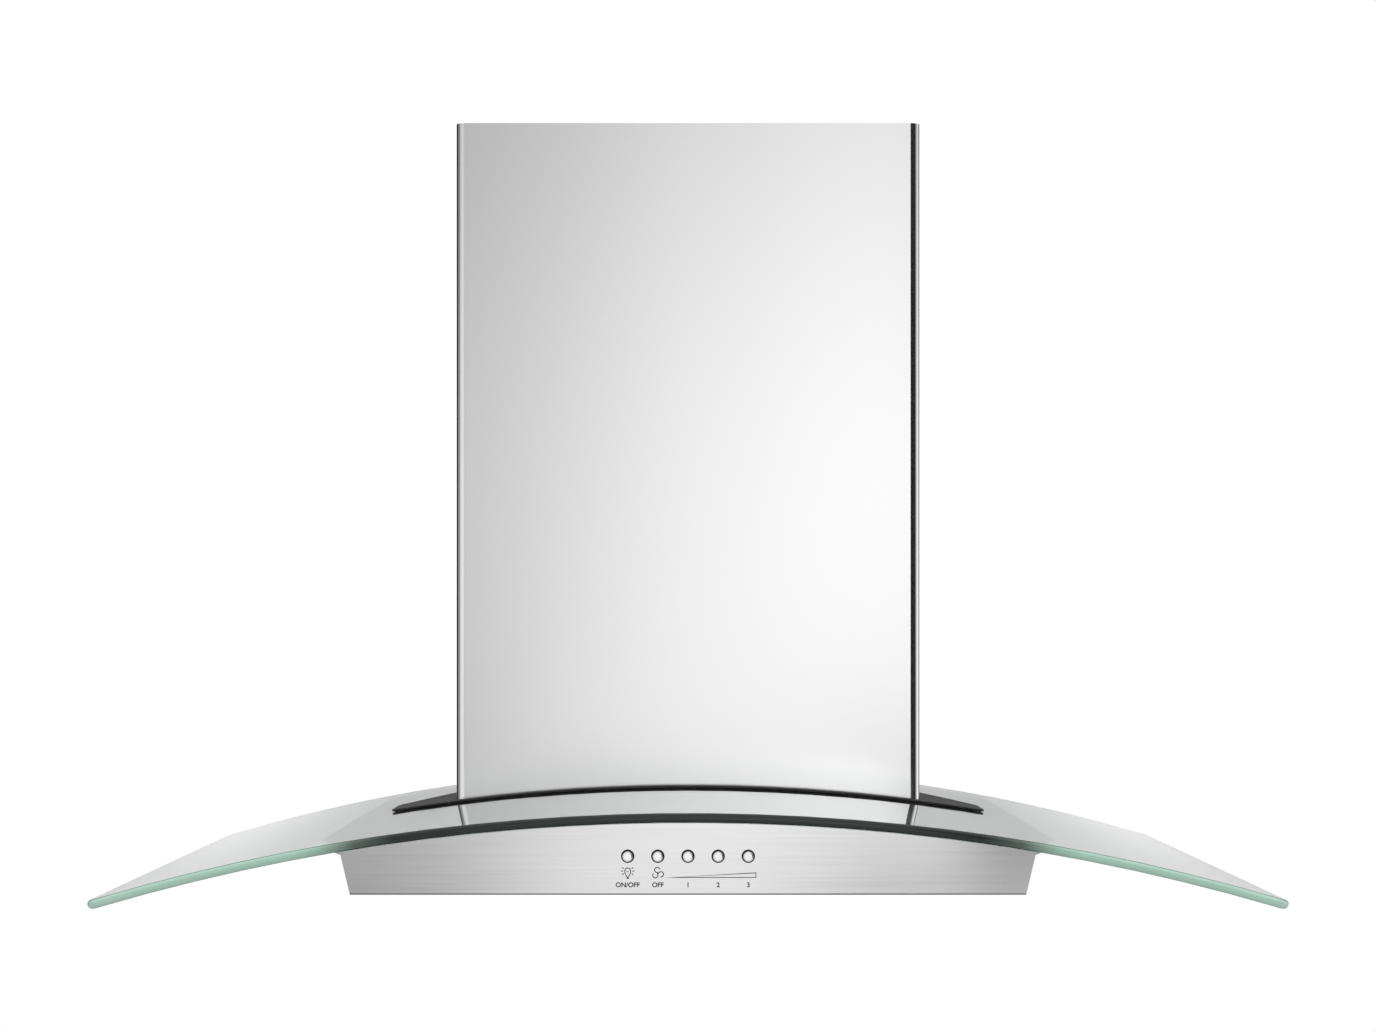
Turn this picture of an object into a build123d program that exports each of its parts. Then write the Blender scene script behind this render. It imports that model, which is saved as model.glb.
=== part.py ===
"""A wall-mounted range hood: a curved glass canopy on a shallow steel body, with a telescoping vent cover.

The frame is the wall's: Y = 0 is the wall and the hood stands out towards -Y, X runs to the viewer's right,
and Z = 0 is the bottom rim of the body, from which a hood's height over the cooktop is measured.
All sizes are in millimetres.
"""
from build123d import *
from math import asin, cos, degrees, radians, sin, sqrt, tan
import os

os.makedirs("parts", exist_ok=True)

# ---------------------------------------------------------------- driving sizes
SEAT = 0.05  # gap between curved pieces that lie on each other
LOOSE = 0.3  # gap between pieces that drop in or move past each other
RUNNING = 0.05  # radial clearance of a shaft in its bore

# Glass canopy: one rectangular pane, bent to an arch across the hood.
GLASS_WIDTH = 760.0
GLASS_DEPTH = 498.0
GLASS_THICKNESS = 6.0
GLASS_WALL_GAP = 2.0
GLASS_CORNER = 10.0  # plan radius of the four corners
GLASS_EDGE_ROUND = 2.6  # polished pencil edge
ARCH_RADIUS = 1315.0  # of the glass's underside
GLASS_RISE = 45.5  # underside of the glass, mid-width, above the rim

# Steel body under the glass.
BODY_SHEET = 1.0
BODY_BASE_WIDTH = 426.0
BODY_FLARE = 13.4  # degrees that the side panels lean outwards
BODY_RETURN = 14.0  # inward return along the bottom rim
FRONT_SETBACK = 1.0  # front panel behind the glass's front edge
RIM_BEND = 0.9  # outer radius of the front panel's bend

# Curved tray that carries the glass, and the seals and clamp plate around the air window.
TRAY_SHEET = 1.0
TRAY_OVERHANG = 31.0  # tray past each side of the body's rim, behind its shoulders
TRAY_FRONT_OVERHANG = 5.0  # the same at its front edge
TRAY_SHOULDER = 100.0  # how far behind the front panel the tray reaches its full width
LOWER_GASKET = 1.5
LOWER_GASKET_INSET = 6.0  # inside the clamp plate's outline
TRAY_PAD_RADIUS = 5.0
TRAY_PAD_INSET = 17.0  # pads inside the body's sides
TRAY_PAD_EDGE = 28.0  # pads behind the front panel and in front of the wall
UPPER_GASKET = 0.5
UPPER_GASKET_INSET = 1.5
CLAMP_SHEET = 1.2
CLAMP_WIDTH = 429.5
CLAMP_FRONT_MARGIN = 10.0  # plate in front of the vent cover
CLAMP_SIDE_MARGIN = 5.0  # plate beside the vent cover, behind the ears
CLAMP_EAR_LENGTH = 48.0  # full-width part of the plate's ears
CLAMP_EAR_TAPER = 64.0  # length over which the ears narrow
CLAMP_CORNER = 5.0
CLAMP_SHOULDER = 16.0  # rounding where the ears begin to narrow

# Vent covers.
COVER_WIDTH = 338.0
COVER_DEPTH = 250.0
COVER_TOP = 535.0
COVER_SHEET = 0.8
COVER_CORNER = 7.0
COVER_RETURN = 14.0  # inward return along the wall
COVER_CLEARANCE = 0.5  # between the lower and the upper cover
UPPER_COVER_LENGTH = 420.0
UPPER_COVER_RECESS = 2.0  # upper cover's top below the lower cover's, nested

# Blower box, air window and the bolts around it.
BOX_SIDE_GAP = 19.0  # air between the box and the side of the lower vent cover
BOX_FRONT_GAP = 14.0  # air between the box and the cover's front
BOX_TOP = 270.0
BOX_SHEET = 1.0
BOX_FLANGE = 22.0  # inward flange that stands on the clamp plate
WINDOW_SETBACK = 2.0  # air window behind the flange's edge
WINDOW_CORNER = 8.0
BOLT_EDGE = 11.0  # bolt line, inside the box's wall
BOLT_PITCH = 78.0
BOLT_RADIUS = 2.5
BOLT_HEAD_RADIUS = 4.5
BOLT_HEAD_HEIGHT = 2.5
BOLT_TAIL = 6.0  # thread below the tray
NUT_RADIUS = 4.6
NUT_HEIGHT = 4.0
BUSH_WALL = 2.0
HANGING_PITCH = 200.0
HANGING_DROP = 34.0  # hanging holes below the box's top
HANGING_HOLE = 4.0
SECURING_PITCH = 300.0
SECURING_Z = 18.0
SECURING_HOLE = 3.0

# Outlet collar and its two damper flaps.
COLLAR_RADIUS = 75.0
COLLAR_HEIGHT = 46.0
COLLAR_WALL = 1.5
COLLAR_FLANGE = 10.0
COLLAR_FLANGE_SHEET = 1.2
COLLAR_SCREW_EDGE = 5.0  # screw circle outside the tube
COLLAR_EDGE = 9.0  # collar's flange behind the box's front
LIP_WIDTH = 3.0
LIP_SHEET = 1.5
LIP_Z = 16.0  # lip's underside above the box's top
FLAP_SHEET = 1.0
FLAP_CLEARANCE = 0.7
DAMPER_ROD_RADIUS = 1.5
KNUCKLE_WALL = 1.4
KNUCKLE_LENGTH = 18.0
KNUCKLE_PITCH = 60.0  # between the two knuckles of one flap
KNUCKLE_STAGGER = 10.0  # each flap's knuckles are shifted this far from the middle

# Blower: a moulded scroll, a squirrel-cage wheel and its motor, on an axis along X.
AXIS_Y = -95.0
AXIS_Z = 160.0
WHEEL_RADIUS = 62.0
WHEEL_WIDTH = 80.0
WHEEL_SHEET = 2.0
BLADE_COUNT = 32
BLADE_DEPTH = 14.0
BLADE_THICKNESS = 1.2
BLADE_RAKE = 28.0
HUB_RADIUS = 14.0
HUB_LENGTH = 14.0
SHAFT_RADIUS = 4.0
SCROLL_WIDTH = 96.0
SCROLL_WALL = 2.0
SCROLL_START_RADIUS = 73.0
SCROLL_STEP = 6.0  # growth of the spiral per quarter turn
OUTLET_DEPTH = 70.0
OUTLET_FLANGE = 168.0
OUTLET_FLANGE_SHEET = 2.0
OUTLET_SCREW_EDGE = 8.0
INLET_RADIUS = 44.0
INLET_LIP = 6.0
MOTOR_OPENING = 51.0
MOTOR_PLATE_RADIUS = 60.0
MOTOR_RADIUS = 46.0
MOTOR_LENGTH = 60.0
MOTOR_WALL = 2.0
MOTOR_SCREW_EDGE = 5.0
BEARING_RADIUS = 8.0
BEARING_LENGTH = 6.0
STATOR_BORE = 26.0
ROTOR_GAP = 0.5
CORE_LENGTH = 34.0
WINDING_LENGTH = 7.0
WINDING_INNER = 29.0
WINDING_OUTER = 40.0
SHAFT_OVERHANG = 4.0  # shaft past the motor's end

# Electrical fittings.
CAPACITOR_RADIUS = 14.0
CAPACITOR_LENGTH = 50.0
CAPACITOR_SETBACK = 31.0  # capacitor's axis behind the box's front
CAPACITOR_Z = 190.0
CLIP_SHEET = 1.0
CLIP_HEIGHT = 12.0
CLIP_FOOT = 26.0
WIRING_WIDTH = 52.0
WIRING_DEPTH = 100.0
WIRING_HEIGHT = 34.0
WIRING_WALL = 1.5
WIRING_EDGE = 6.0  # wiring box inside the blower box's side
WIRING_Y = -140.0
COVER_PLUG = 4.0  # how far the wiring box's lid reaches inside
TERMINAL_WIDTH = 28.0
TERMINAL_DEPTH = 44.0
TERMINAL_HEIGHT = 14.0
TERMINAL_WAYS = 4
TERMINAL_SCREW = 2.4
GLAND_BORE = 4.5
GLAND_RADIUS = 7.0
GLAND_FLANGE = 10.0
GLAND_LENGTH = 12.0
GLAND_HEAD = 3.0

# Controls.
BUTTON_NAMES = ("light", "fan_off", "fan_low", "fan_medium", "fan_high")
BUTTON_PITCH = 19.0
BUTTON_Z = 24.4
BUTTON_RADIUS = 3.25
BUTTON_HOLE_GAP = 1.0
BUTTON_PROUD = 4.0
BUTTON_DOME = 0.8  # rounding of the cap's front
BUTTON_TRAVEL = 2.5
BUTTON_COLLAR = 5.4
BUTTON_COLLAR_LENGTH = 1.0
BUTTON_SEAT = 0.1  # collar behind the panel
STEM_RADIUS = 2.0
STEM_GRIP = 4.0  # stem inside the switch block at rest
SWITCH_HEIGHT = 20.0
SWITCH_DEPTH = 26.0
SWITCH_MARGIN = 10.0  # block past the outermost buttons
BRACKET_SHEET = 1.0
BRACKET_FOOT = 10.0

# Bottom pan, filters and lamps.
PAN_SHEET = 1.0
PAN_RECESS = 7.0  # pan's deck above the rim
PAN_RIM = 18.0  # pan's flange, which lies on the body's return
FILTER_BAY_EDGE = 8.7  # deck between a filter bay and the pan's step
FILTER_BAY_FRONT = 95.0  # bay behind the front panel's back
FILTER_BAY_REAR = 45.0  # bay in front of the wall
CENTRE_BAR = 12.0  # between the two bays
FILTER_CLEARANCE = 0.8
FILTER_THICKNESS = 9.0
FILTER_DROP = 3.0  # filter's underside below the deck's
FILTER_RIM = 13.0
FILTER_FRONT_RIM = 22.0
MESH_THICKNESS = 5.0
MESH_GRIP = 3.0  # groove in the rim that holds the mesh
MESH_PITCH = 14.0
MESH_HOLE = 7.6
TAB_WIDTH = 24.0
TAB_LENGTH = 8.0
TAB_SHEET = 1.0
TAB_PITCH = 100.0
LATCH_WIDTH = 20.0
LATCH_SHEET = 1.5
LATCH_BITE = 3.0  # tongue over the deck
LATCH_TRAVEL = 5.5
LATCH_TONGUE = 15.0
NECK_WIDTH = 8.0
NECK_LENGTH = 4.0
NECK_PLACE = 11.0  # neck behind the tongue's tip
PULL_WIDTH = 34.0
PULL_LENGTH = 12.0
PULL_THICKNESS = 2.2
LAMP_EDGE = 74.0  # lamps' centres inside the body's sides
LAMP_SETBACK = 52.0  # lamps' centres behind the front panel's back
LAMP_RADIUS = 29.0
LAMP_BEZEL = 4.0
LAMP_HEIGHT = 17.0
LAMP_WALL = 1.5
LAMP_LIP = 3.5  # inward lip that carries the lens
LENS_THICKNESS = 2.0
SOCKET_RADIUS = 7.0
SOCKET_HEIGHT = 5.0
BULB_RADIUS = 4.5
BULB_LENGTH = 7.0

# Screws.
SCREW_RADIUS = 2.0
SCREW_HEAD_RADIUS = 3.8
SCREW_HEAD_HEIGHT = 2.2
SCREW_CLEARANCE = 0.1
PAN_SCREW_EDGE = 7.0
PAN_SCREW_END = 58.0  # end screws inside the pan's front and back edges

# Tools that cut the arched pieces reach this far past them.
TOOL_MARGIN = 40.0

# ---------------------------------------------------------------- derived places
PANEL_FACE_Y = -(GLASS_DEPTH + GLASS_WALL_GAP) + FRONT_SETBACK
PANEL_BACK_Y = PANEL_FACE_Y + BODY_SHEET
ARCH_CENTRE_Z = GLASS_RISE - ARCH_RADIUS
ARCH_REACH = GLASS_WIDTH / 2 + TOOL_MARGIN  # half width of the tools that cut to the arch
ARCH_DROP = ARCH_RADIUS - sqrt(ARCH_RADIUS**2 - ARCH_REACH**2)
TOOL_DEPTH = GLASS_DEPTH + TOOL_MARGIN  # how far those tools run out from the wall
PLAN_LOW = GLASS_RISE - ARCH_DROP - TOOL_MARGIN  # plan outlines are raised from here to PLAN_HIGH
PLAN_HIGH = GLASS_RISE + TOOL_MARGIN

# Lifts above the glass's underside of the sheets stacked on and below it.
GASKET_TOP_LIFT = GLASS_THICKNESS + SEAT + UPPER_GASKET
CLAMP_LIFT = GASKET_TOP_LIFT + SEAT
CLAMP_TOP_LIFT = CLAMP_LIFT + CLAMP_SHEET
FLANGE_LIFT = CLAMP_TOP_LIFT + SEAT
FLANGE_TOP_LIFT = FLANGE_LIFT + BOX_SHEET
TRAY_TOP_LIFT = -(LOWER_GASKET + 2 * SEAT)
TRAY_LIFT = TRAY_TOP_LIFT - TRAY_SHEET
WALL_LIFT = TRAY_LIFT - SEAT  # top of the side and back panels

TRAY_HALF = BODY_BASE_WIDTH / 2 + TRAY_OVERHANG
TRAY_FRONT_HALF = BODY_BASE_WIDTH / 2 + TRAY_FRONT_OVERHANG
TRAY_PAD_X = BODY_BASE_WIDTH / 2 - TRAY_PAD_INSET
BOX_WIDTH = COVER_WIDTH - 2 * BOX_SIDE_GAP
BOX_DEPTH = COVER_DEPTH - BOX_FRONT_GAP
WINDOW_HALF = BOX_WIDTH / 2 - BOX_FLANGE - WINDOW_SETBACK
WINDOW_DEPTH = BOX_DEPTH - 2 * (BOX_FLANGE + WINDOW_SETBACK)
BOLT_HOLE = BOLT_RADIUS + SCREW_CLEARANCE
BUSH_RADIUS = BOLT_HOLE + BUSH_WALL
SCREW_HOLE = SCREW_RADIUS + SCREW_CLEARANCE
HANGING_Z = BOX_TOP - HANGING_DROP
COLLAR_Y = COLLAR_RADIUS + COLLAR_FLANGE + COLLAR_EDGE - BOX_DEPTH
ROD_Z = BOX_TOP + LIP_Z + LIP_SHEET + SEAT + FLAP_SHEET / 2
COLLAR_BORE = COLLAR_RADIUS - COLLAR_WALL
SCROLL_FRONT_Y = AXIS_Y - SCROLL_STEP / 2 - SCROLL_START_RADIUS - 2 * SCROLL_STEP
CAPACITOR_Y = CAPACITOR_SETBACK - BOX_DEPTH
WIRING_X = (BOX_WIDTH - WIRING_WIDTH) / 2 - WIRING_EDGE
MOTOR_START_X = SCROLL_WIDTH / 2
MOTOR_END_X = MOTOR_START_X + MOTOR_LENGTH
CORE_START_X = MOTOR_START_X + (MOTOR_LENGTH - CORE_LENGTH) / 2
BUTTON_X = [(number - (len(BUTTON_NAMES) - 1) / 2) * BUTTON_PITCH for number in range(len(BUTTON_NAMES))]
BUTTON_BACK_Y = PANEL_BACK_Y + BUTTON_SEAT + BUTTON_COLLAR_LENGTH
SWITCH_FRONT_Y = BUTTON_BACK_Y + BUTTON_TRAVEL + LOOSE
SWITCH_HALF = (len(BUTTON_NAMES) - 1) / 2 * BUTTON_PITCH + SWITCH_MARGIN
DECK_TOP = PAN_RECESS + PAN_SHEET
PAN_HALF = BODY_BASE_WIDTH / 2 - BODY_SHEET - LOOSE
PAN_FRONT_Y = PANEL_BACK_Y + LOOSE
PAN_DEPTH = -BODY_SHEET - LOOSE - PAN_FRONT_Y
PAN_Y = PAN_FRONT_Y + PAN_DEPTH / 2
FILTER_BAY_WIDTH = PAN_HALF - PAN_RIM - FILTER_BAY_EDGE - CENTRE_BAR / 2
BAY_X = (CENTRE_BAR + FILTER_BAY_WIDTH) / 2
BAY_FRONT_Y = PANEL_BACK_Y + FILTER_BAY_FRONT
BAY_DEPTH = -FILTER_BAY_REAR - BAY_FRONT_Y
BAY_Y = BAY_FRONT_Y + BAY_DEPTH / 2
FILTER_Z = PAN_RECESS - FILTER_DROP
FILTER_WIDTH = FILTER_BAY_WIDTH - 2 * FILTER_CLEARANCE
FILTER_DEPTH = BAY_DEPTH - 2 * FILTER_CLEARANCE
FILTER_FRONT_Y = BAY_FRONT_Y + FILTER_CLEARANCE
MESH_WIDTH = FILTER_WIDTH - 2 * (FILTER_RIM - MESH_GRIP)
MESH_FRONT_Y = FILTER_FRONT_Y + FILTER_FRONT_RIM - MESH_GRIP
MESH_DEPTH = FILTER_DEPTH - FILTER_FRONT_RIM - FILTER_RIM + 2 * MESH_GRIP
LATCH_TIP_Y = BAY_FRONT_Y - LATCH_BITE
LATCH_Z = DECK_TOP + SEAT
LAMP_X = BODY_BASE_WIDTH / 2 - LAMP_EDGE
LAMP_Y = PANEL_BACK_Y + LAMP_SETBACK
SIDES = ((-1, "left"), (1, "right"))


def body_half(z):
    """Half the body's outer width at height z."""
    return BODY_BASE_WIDTH / 2 + z * tan(radians(BODY_FLARE))


def arch_point(angle, lift):
    """Point (x, z) at `angle` radians from the crown, `lift` above the glass's underside."""
    return (ARCH_RADIUS + lift) * sin(angle), ARCH_CENTRE_Z + (ARCH_RADIUS + lift) * cos(angle)


def arch_place(x, y, lift):
    """Place on the arch over x and y, with its Z axis square to the glass."""
    angle = asin(x / ARCH_RADIUS)
    place_x, place_z = arch_point(angle, lift)
    return Location((place_x, y, place_z), (0, degrees(angle), 0))


def arch_arc(lift, half_angle):
    """Arc across the hood, `lift` above the glass's underside."""
    return ThreePointArc(arch_point(-half_angle, lift), arch_point(0, lift), arch_point(half_angle, lift))


def arch_band(low, high, half_angle=asin(ARCH_REACH / ARCH_RADIUS)):
    """Section of a bent sheet between two lifts, with its ends square to the arch."""
    with BuildLine() as band:
        crest = arch_arc(high, half_angle)
        belly = arch_arc(low, half_angle)
        Line(crest @ 0, belly @ 0)
        Line(crest @ 1, belly @ 1)
    make_face(band.edges())


def under_arch(lift, mode=Mode.ADD):
    """Everything below one arched surface."""
    with BuildLine() as region:
        crest = arch_arc(lift, asin(ARCH_REACH / ARCH_RADIUS))
        Polyline(crest @ 0, ((crest @ 0).X, PLAN_LOW), ((crest @ 1).X, PLAN_LOW), crest @ 1)
    make_face(region.edges(), mode=mode)


def window_plan():
    """Plan of the air window through tray, seals, glass and clamp plate."""
    with Locations((0, -BOX_DEPTH / 2)):
        RectangleRounded(2 * WINDOW_HALF, WINDOW_DEPTH, WINDOW_CORNER, mode=Mode.SUBTRACT)


def clamp_plan(inset=0.0):
    """Plan of the clamp plate: wide ears beside the vent cover that narrow towards the wall."""
    ear = CLAMP_WIDTH / 2 - inset
    waist = COVER_WIDTH / 2 + CLAMP_SIDE_MARGIN - inset
    front = -COVER_DEPTH - CLAMP_FRONT_MARGIN + inset
    shoulder = -COVER_DEPTH - CLAMP_FRONT_MARGIN + CLAMP_EAR_LENGTH
    middle = (front + shoulder) / 2
    back = -GLASS_WALL_GAP - inset
    neck = shoulder + CLAMP_EAR_TAPER
    with BuildLine() as plate:
        nose = FilletPolyline((ear, middle), (ear, front), (-ear, front), (-ear, middle), radius=CLAMP_CORNER)
        left = FilletPolyline((-ear, middle), (-ear, shoulder), (-waist, neck), radius=CLAMP_SHOULDER)
        right = FilletPolyline((waist, neck), (ear, shoulder), (ear, middle), radius=CLAMP_SHOULDER)
        Polyline(left @ 1, (-waist, back), (waist, back), right @ 0)
    make_face(plate.edges())


def cover_plan(inset=0.0):
    """Plan of a vent cover: front, two sides and a return along the wall, `inset` inside the lower cover."""
    for step, mode in ((0, Mode.ADD), (COVER_SHEET, Mode.SUBTRACT)):
        half = COVER_WIDTH / 2 - inset - step
        front = -COVER_DEPTH + inset + step
        back = -inset - step
        bend = COVER_CORNER - inset - step
        with BuildLine() as sheet:
            wall = FilletPolyline((-half, back), (-half, front), (half, front), (half, back), radius=bend)
            Line(wall @ 1, wall @ 0)
        make_face(sheet.edges(), mode=mode)
    with Locations((0, -inset - COVER_SHEET / 2)):
        Rectangle(COVER_WIDTH - 2 * (inset + COVER_RETURN), 2 * COVER_SHEET, mode=Mode.SUBTRACT)


def blower_circle(radius, mode=Mode.ADD):
    """Circle about the blower's axis, on a plane square to X."""
    with Locations((AXIS_Y, AXIS_Z)):
        Circle(radius, mode=mode)


def scroll_outline(inset, top):
    """Spiral of three quarter arcs about the wheel, opening into a straight outlet, on the YZ plane."""
    half_step = SCROLL_STEP / 2
    centres = [(half_step, -half_step), (-half_step, -half_step), (-half_step, half_step)]
    outer = SCROLL_FRONT_Y + inset
    inner = SCROLL_FRONT_Y + OUTLET_DEPTH - inset
    with BuildLine() as spiral:
        arcs = []
        for quarter, (offset_y, offset_z) in enumerate(centres):
            centre = (AXIS_Y + offset_y, AXIS_Z + offset_z)
            radius = SCROLL_START_RADIUS + quarter * SCROLL_STEP - inset
            arcs.append(CenterArc(centre, radius, 90 - 90 * quarter, -90))
        tongue = arcs[0] @ 0
        Polyline(arcs[-1] @ 1, (outer, top), (inner, top), (inner, tongue.Y), tongue)
    make_face(spiral.edges())


def finish(piece, name):
    """Labels a finished piece and writes its STEP file."""
    piece.part.label = name
    export_step(piece.part, f"parts/{name}.step")


BOLT_SEATS = [(side * (BOX_WIDTH / 2 - BOLT_EDGE), -BOX_DEPTH / 2 + row * BOLT_PITCH)
              for side in (-1, 1) for row in (-1, 0, 1)]
OUTLET_SCREWS = [(side * (OUTLET_FLANGE / 2 - OUTLET_SCREW_EDGE),
                  COLLAR_Y + end * (OUTLET_FLANGE / 2 - OUTLET_SCREW_EDGE))
                 for side in (-1, 1) for end in (-1, 1)]
COLLAR_SCREW_RADIUS = COLLAR_RADIUS + COLLAR_SCREW_EDGE
COLLAR_SCREWS = [(COLLAR_SCREW_RADIUS, COLLAR_Y), (0, COLLAR_Y + COLLAR_SCREW_RADIUS),
                 (-COLLAR_SCREW_RADIUS, COLLAR_Y), (0, COLLAR_Y - COLLAR_SCREW_RADIUS)]
PAN_SCREWS = [(side * (PAN_HALF - PAN_SCREW_EDGE), PAN_Y + row * (PAN_DEPTH / 2 - PAN_SCREW_END))
              for side in (-1, 1) for row in (-1, 0, 1)]

# ---------------------------------------------------------------- steel body
with BuildPart() as front_panel:
    with BuildSketch(Plane.XZ.offset(-PANEL_BACK_Y)):
        Polygon(
            (-body_half(0), 0),
            (body_half(0), 0),
            (body_half(GLASS_RISE), GLASS_RISE),
            (-body_half(GLASS_RISE), GLASS_RISE),
            align=None,
        )
        under_arch(-LOOSE, mode=Mode.INTERSECT)
    extrude(amount=BODY_SHEET)
    with BuildSketch(Plane.XY):
        with Locations((0, PANEL_BACK_Y + BODY_RETURN / 2)):
            Rectangle(BODY_BASE_WIDTH - 2 * (BODY_SHEET + SEAT), BODY_RETURN)
    extrude(amount=BODY_SHEET)
    rim = front_panel.edges().filter_by(Axis.X).group_by(Axis.Z)[0].sort_by(Axis.Y)[0]
    fillet(rim, RIM_BEND)
    with BuildSketch(Plane.XZ.offset(-PANEL_BACK_Y)):
        with Locations(*[(x, BUTTON_Z) for x in BUTTON_X]):
            Circle(BUTTON_RADIUS + BUTTON_HOLE_GAP)
    extrude(amount=BODY_SHEET, mode=Mode.SUBTRACT)
finish(front_panel, "front_panel")

with BuildPart() as back_panel:
    with BuildSketch(Plane.XZ):
        Polygon(
            (-body_half(0), 0),
            (body_half(0), 0),
            (body_half(GLASS_RISE), GLASS_RISE),
            (-body_half(GLASS_RISE), GLASS_RISE),
            align=None,
        )
        under_arch(WALL_LIFT, mode=Mode.INTERSECT)
        with Locations((-SECURING_PITCH / 2, SECURING_Z), (SECURING_PITCH / 2, SECURING_Z)):
            Circle(SECURING_HOLE, mode=Mode.SUBTRACT)
    extrude(amount=BODY_SHEET)
    with BuildSketch(Plane.XY):
        with Locations((0, -BODY_SHEET - BODY_RETURN / 2)):
            Rectangle(BODY_BASE_WIDTH - 2 * (BODY_SHEET + SEAT), BODY_RETURN)
    extrude(amount=BODY_SHEET)
finish(back_panel, "back_panel")

for side, hand in SIDES:
    with BuildPart() as side_panel:
        with BuildSketch(Plane.XZ.offset(BODY_SHEET)):
            Polygon(
                (side * body_half(0), 0),
                (side * body_half(GLASS_RISE), GLASS_RISE),
                (side * (body_half(GLASS_RISE) - BODY_SHEET), GLASS_RISE),
                (side * (body_half(0) - BODY_SHEET), 0),
                align=None,
            )
            under_arch(WALL_LIFT, mode=Mode.INTERSECT)
        extrude(amount=-PANEL_BACK_Y - BODY_SHEET)
        with BuildSketch(Plane.XZ.offset(BODY_SHEET + BODY_RETURN + SEAT)):
            with Locations((side * (body_half(0) - BODY_RETURN / 2), BODY_SHEET / 2)):
                Rectangle(BODY_RETURN, BODY_SHEET)
        extrude(amount=-PANEL_BACK_Y - BODY_SHEET - 2 * (BODY_RETURN + SEAT))
        with Locations(*[(x, y, BODY_SHEET) for x, y in PAN_SCREWS if x * side > 0]):
            Hole(SCREW_HOLE, depth=BODY_SHEET)
    finish(side_panel, f"side_panel_{hand}")

# ---------------------------------------------------------------- glass and what clamps it
with BuildPart() as glass_tray:
    with BuildSketch(Plane.XZ):
        arch_band(TRAY_LIFT, TRAY_TOP_LIFT)
    extrude(amount=TOOL_DEPTH)
    with BuildSketch(Plane.XY.offset(PLAN_LOW)):
        Polygon(
            (-TRAY_HALF, 0),
            (-TRAY_HALF, PANEL_BACK_Y + TRAY_SHOULDER),
            (-TRAY_FRONT_HALF, PANEL_BACK_Y + SEAT),
            (TRAY_FRONT_HALF, PANEL_BACK_Y + SEAT),
            (TRAY_HALF, PANEL_BACK_Y + TRAY_SHOULDER),
            (TRAY_HALF, 0),
            align=None,
        )
        window_plan()
    extrude(amount=PLAN_HIGH - PLAN_LOW, mode=Mode.INTERSECT)
    with Locations(*[arch_place(x, y, 0) for x, y in BOLT_SEATS]):
        Hole(BOLT_HOLE)
finish(glass_tray, "glass_tray")

with BuildPart() as lower_gasket:
    with BuildSketch(Plane.XZ):
        arch_band(TRAY_TOP_LIFT + SEAT, -SEAT)
    extrude(amount=TOOL_DEPTH)
    with BuildSketch(Plane.XY.offset(PLAN_LOW)):
        clamp_plan(LOWER_GASKET_INSET)
        window_plan()
    extrude(amount=PLAN_HIGH - PLAN_LOW, mode=Mode.INTERSECT)
    with Locations(*[arch_place(x, y, 0) for x, y in BOLT_SEATS]):
        Hole(BOLT_HOLE)
finish(lower_gasket, "lower_gasket")

with BuildPart() as tray_pads:
    pad_places = [
        arch_place(side * TRAY_PAD_X, y, TRAY_TOP_LIFT + SEAT)
        for side in (-1, 1)
        for y in (PANEL_BACK_Y + TRAY_PAD_EDGE, -TRAY_PAD_EDGE)
    ]
    with Locations(*pad_places):
        Cylinder(TRAY_PAD_RADIUS, LOWER_GASKET, align=(Align.CENTER, Align.CENTER, Align.MIN))
finish(tray_pads, "tray_pads")

with BuildPart() as glass_canopy:
    with BuildSketch(Plane.XZ.offset(GLASS_WALL_GAP)):
        arch_band(0, GLASS_THICKNESS, asin(GLASS_WIDTH / 2 / (ARCH_RADIUS + GLASS_THICKNESS / 2)))
    extrude(amount=GLASS_DEPTH)
    upright = glass_canopy.edges().filter_by(lambda edge: abs(edge.length - GLASS_THICKNESS) < SEAT)
    fillet(upright, GLASS_CORNER)
    outline = glass_canopy.edges().filter_by(lambda edge: edge.length > GLASS_THICKNESS + SEAT)
    fillet(outline, GLASS_EDGE_ROUND)
    with BuildSketch(Plane.XY.offset(PLAN_LOW)):
        with Locations((0, -BOX_DEPTH / 2)):
            RectangleRounded(2 * WINDOW_HALF, WINDOW_DEPTH, WINDOW_CORNER)
    extrude(amount=PLAN_HIGH - PLAN_LOW, mode=Mode.SUBTRACT)
    with Locations(*[arch_place(x, y, GLASS_THICKNESS) for x, y in BOLT_SEATS]):
        Hole(BUSH_RADIUS + SCREW_CLEARANCE)
finish(glass_canopy, "glass_canopy")

with BuildPart() as upper_gasket:
    with BuildSketch(Plane.XZ):
        arch_band(GLASS_THICKNESS + SEAT, GASKET_TOP_LIFT)
    extrude(amount=TOOL_DEPTH)
    with BuildSketch(Plane.XY.offset(PLAN_LOW)):
        clamp_plan(UPPER_GASKET_INSET)
        window_plan()
    extrude(amount=PLAN_HIGH - PLAN_LOW, mode=Mode.INTERSECT)
    with Locations(*[arch_place(x, y, 0) for x, y in BOLT_SEATS]):
        Hole(BOLT_HOLE)
finish(upper_gasket, "upper_gasket")

with BuildPart() as clamp_plate:
    with BuildSketch(Plane.XZ):
        arch_band(CLAMP_LIFT, CLAMP_TOP_LIFT)
    extrude(amount=TOOL_DEPTH)
    with BuildSketch(Plane.XY.offset(PLAN_LOW)):
        clamp_plan()
        window_plan()
    extrude(amount=PLAN_HIGH - PLAN_LOW, mode=Mode.INTERSECT)
    with Locations(*[arch_place(x, y, 0) for x, y in BOLT_SEATS]):
        Hole(BOLT_HOLE)
finish(clamp_plate, "clamp_plate")

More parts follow.
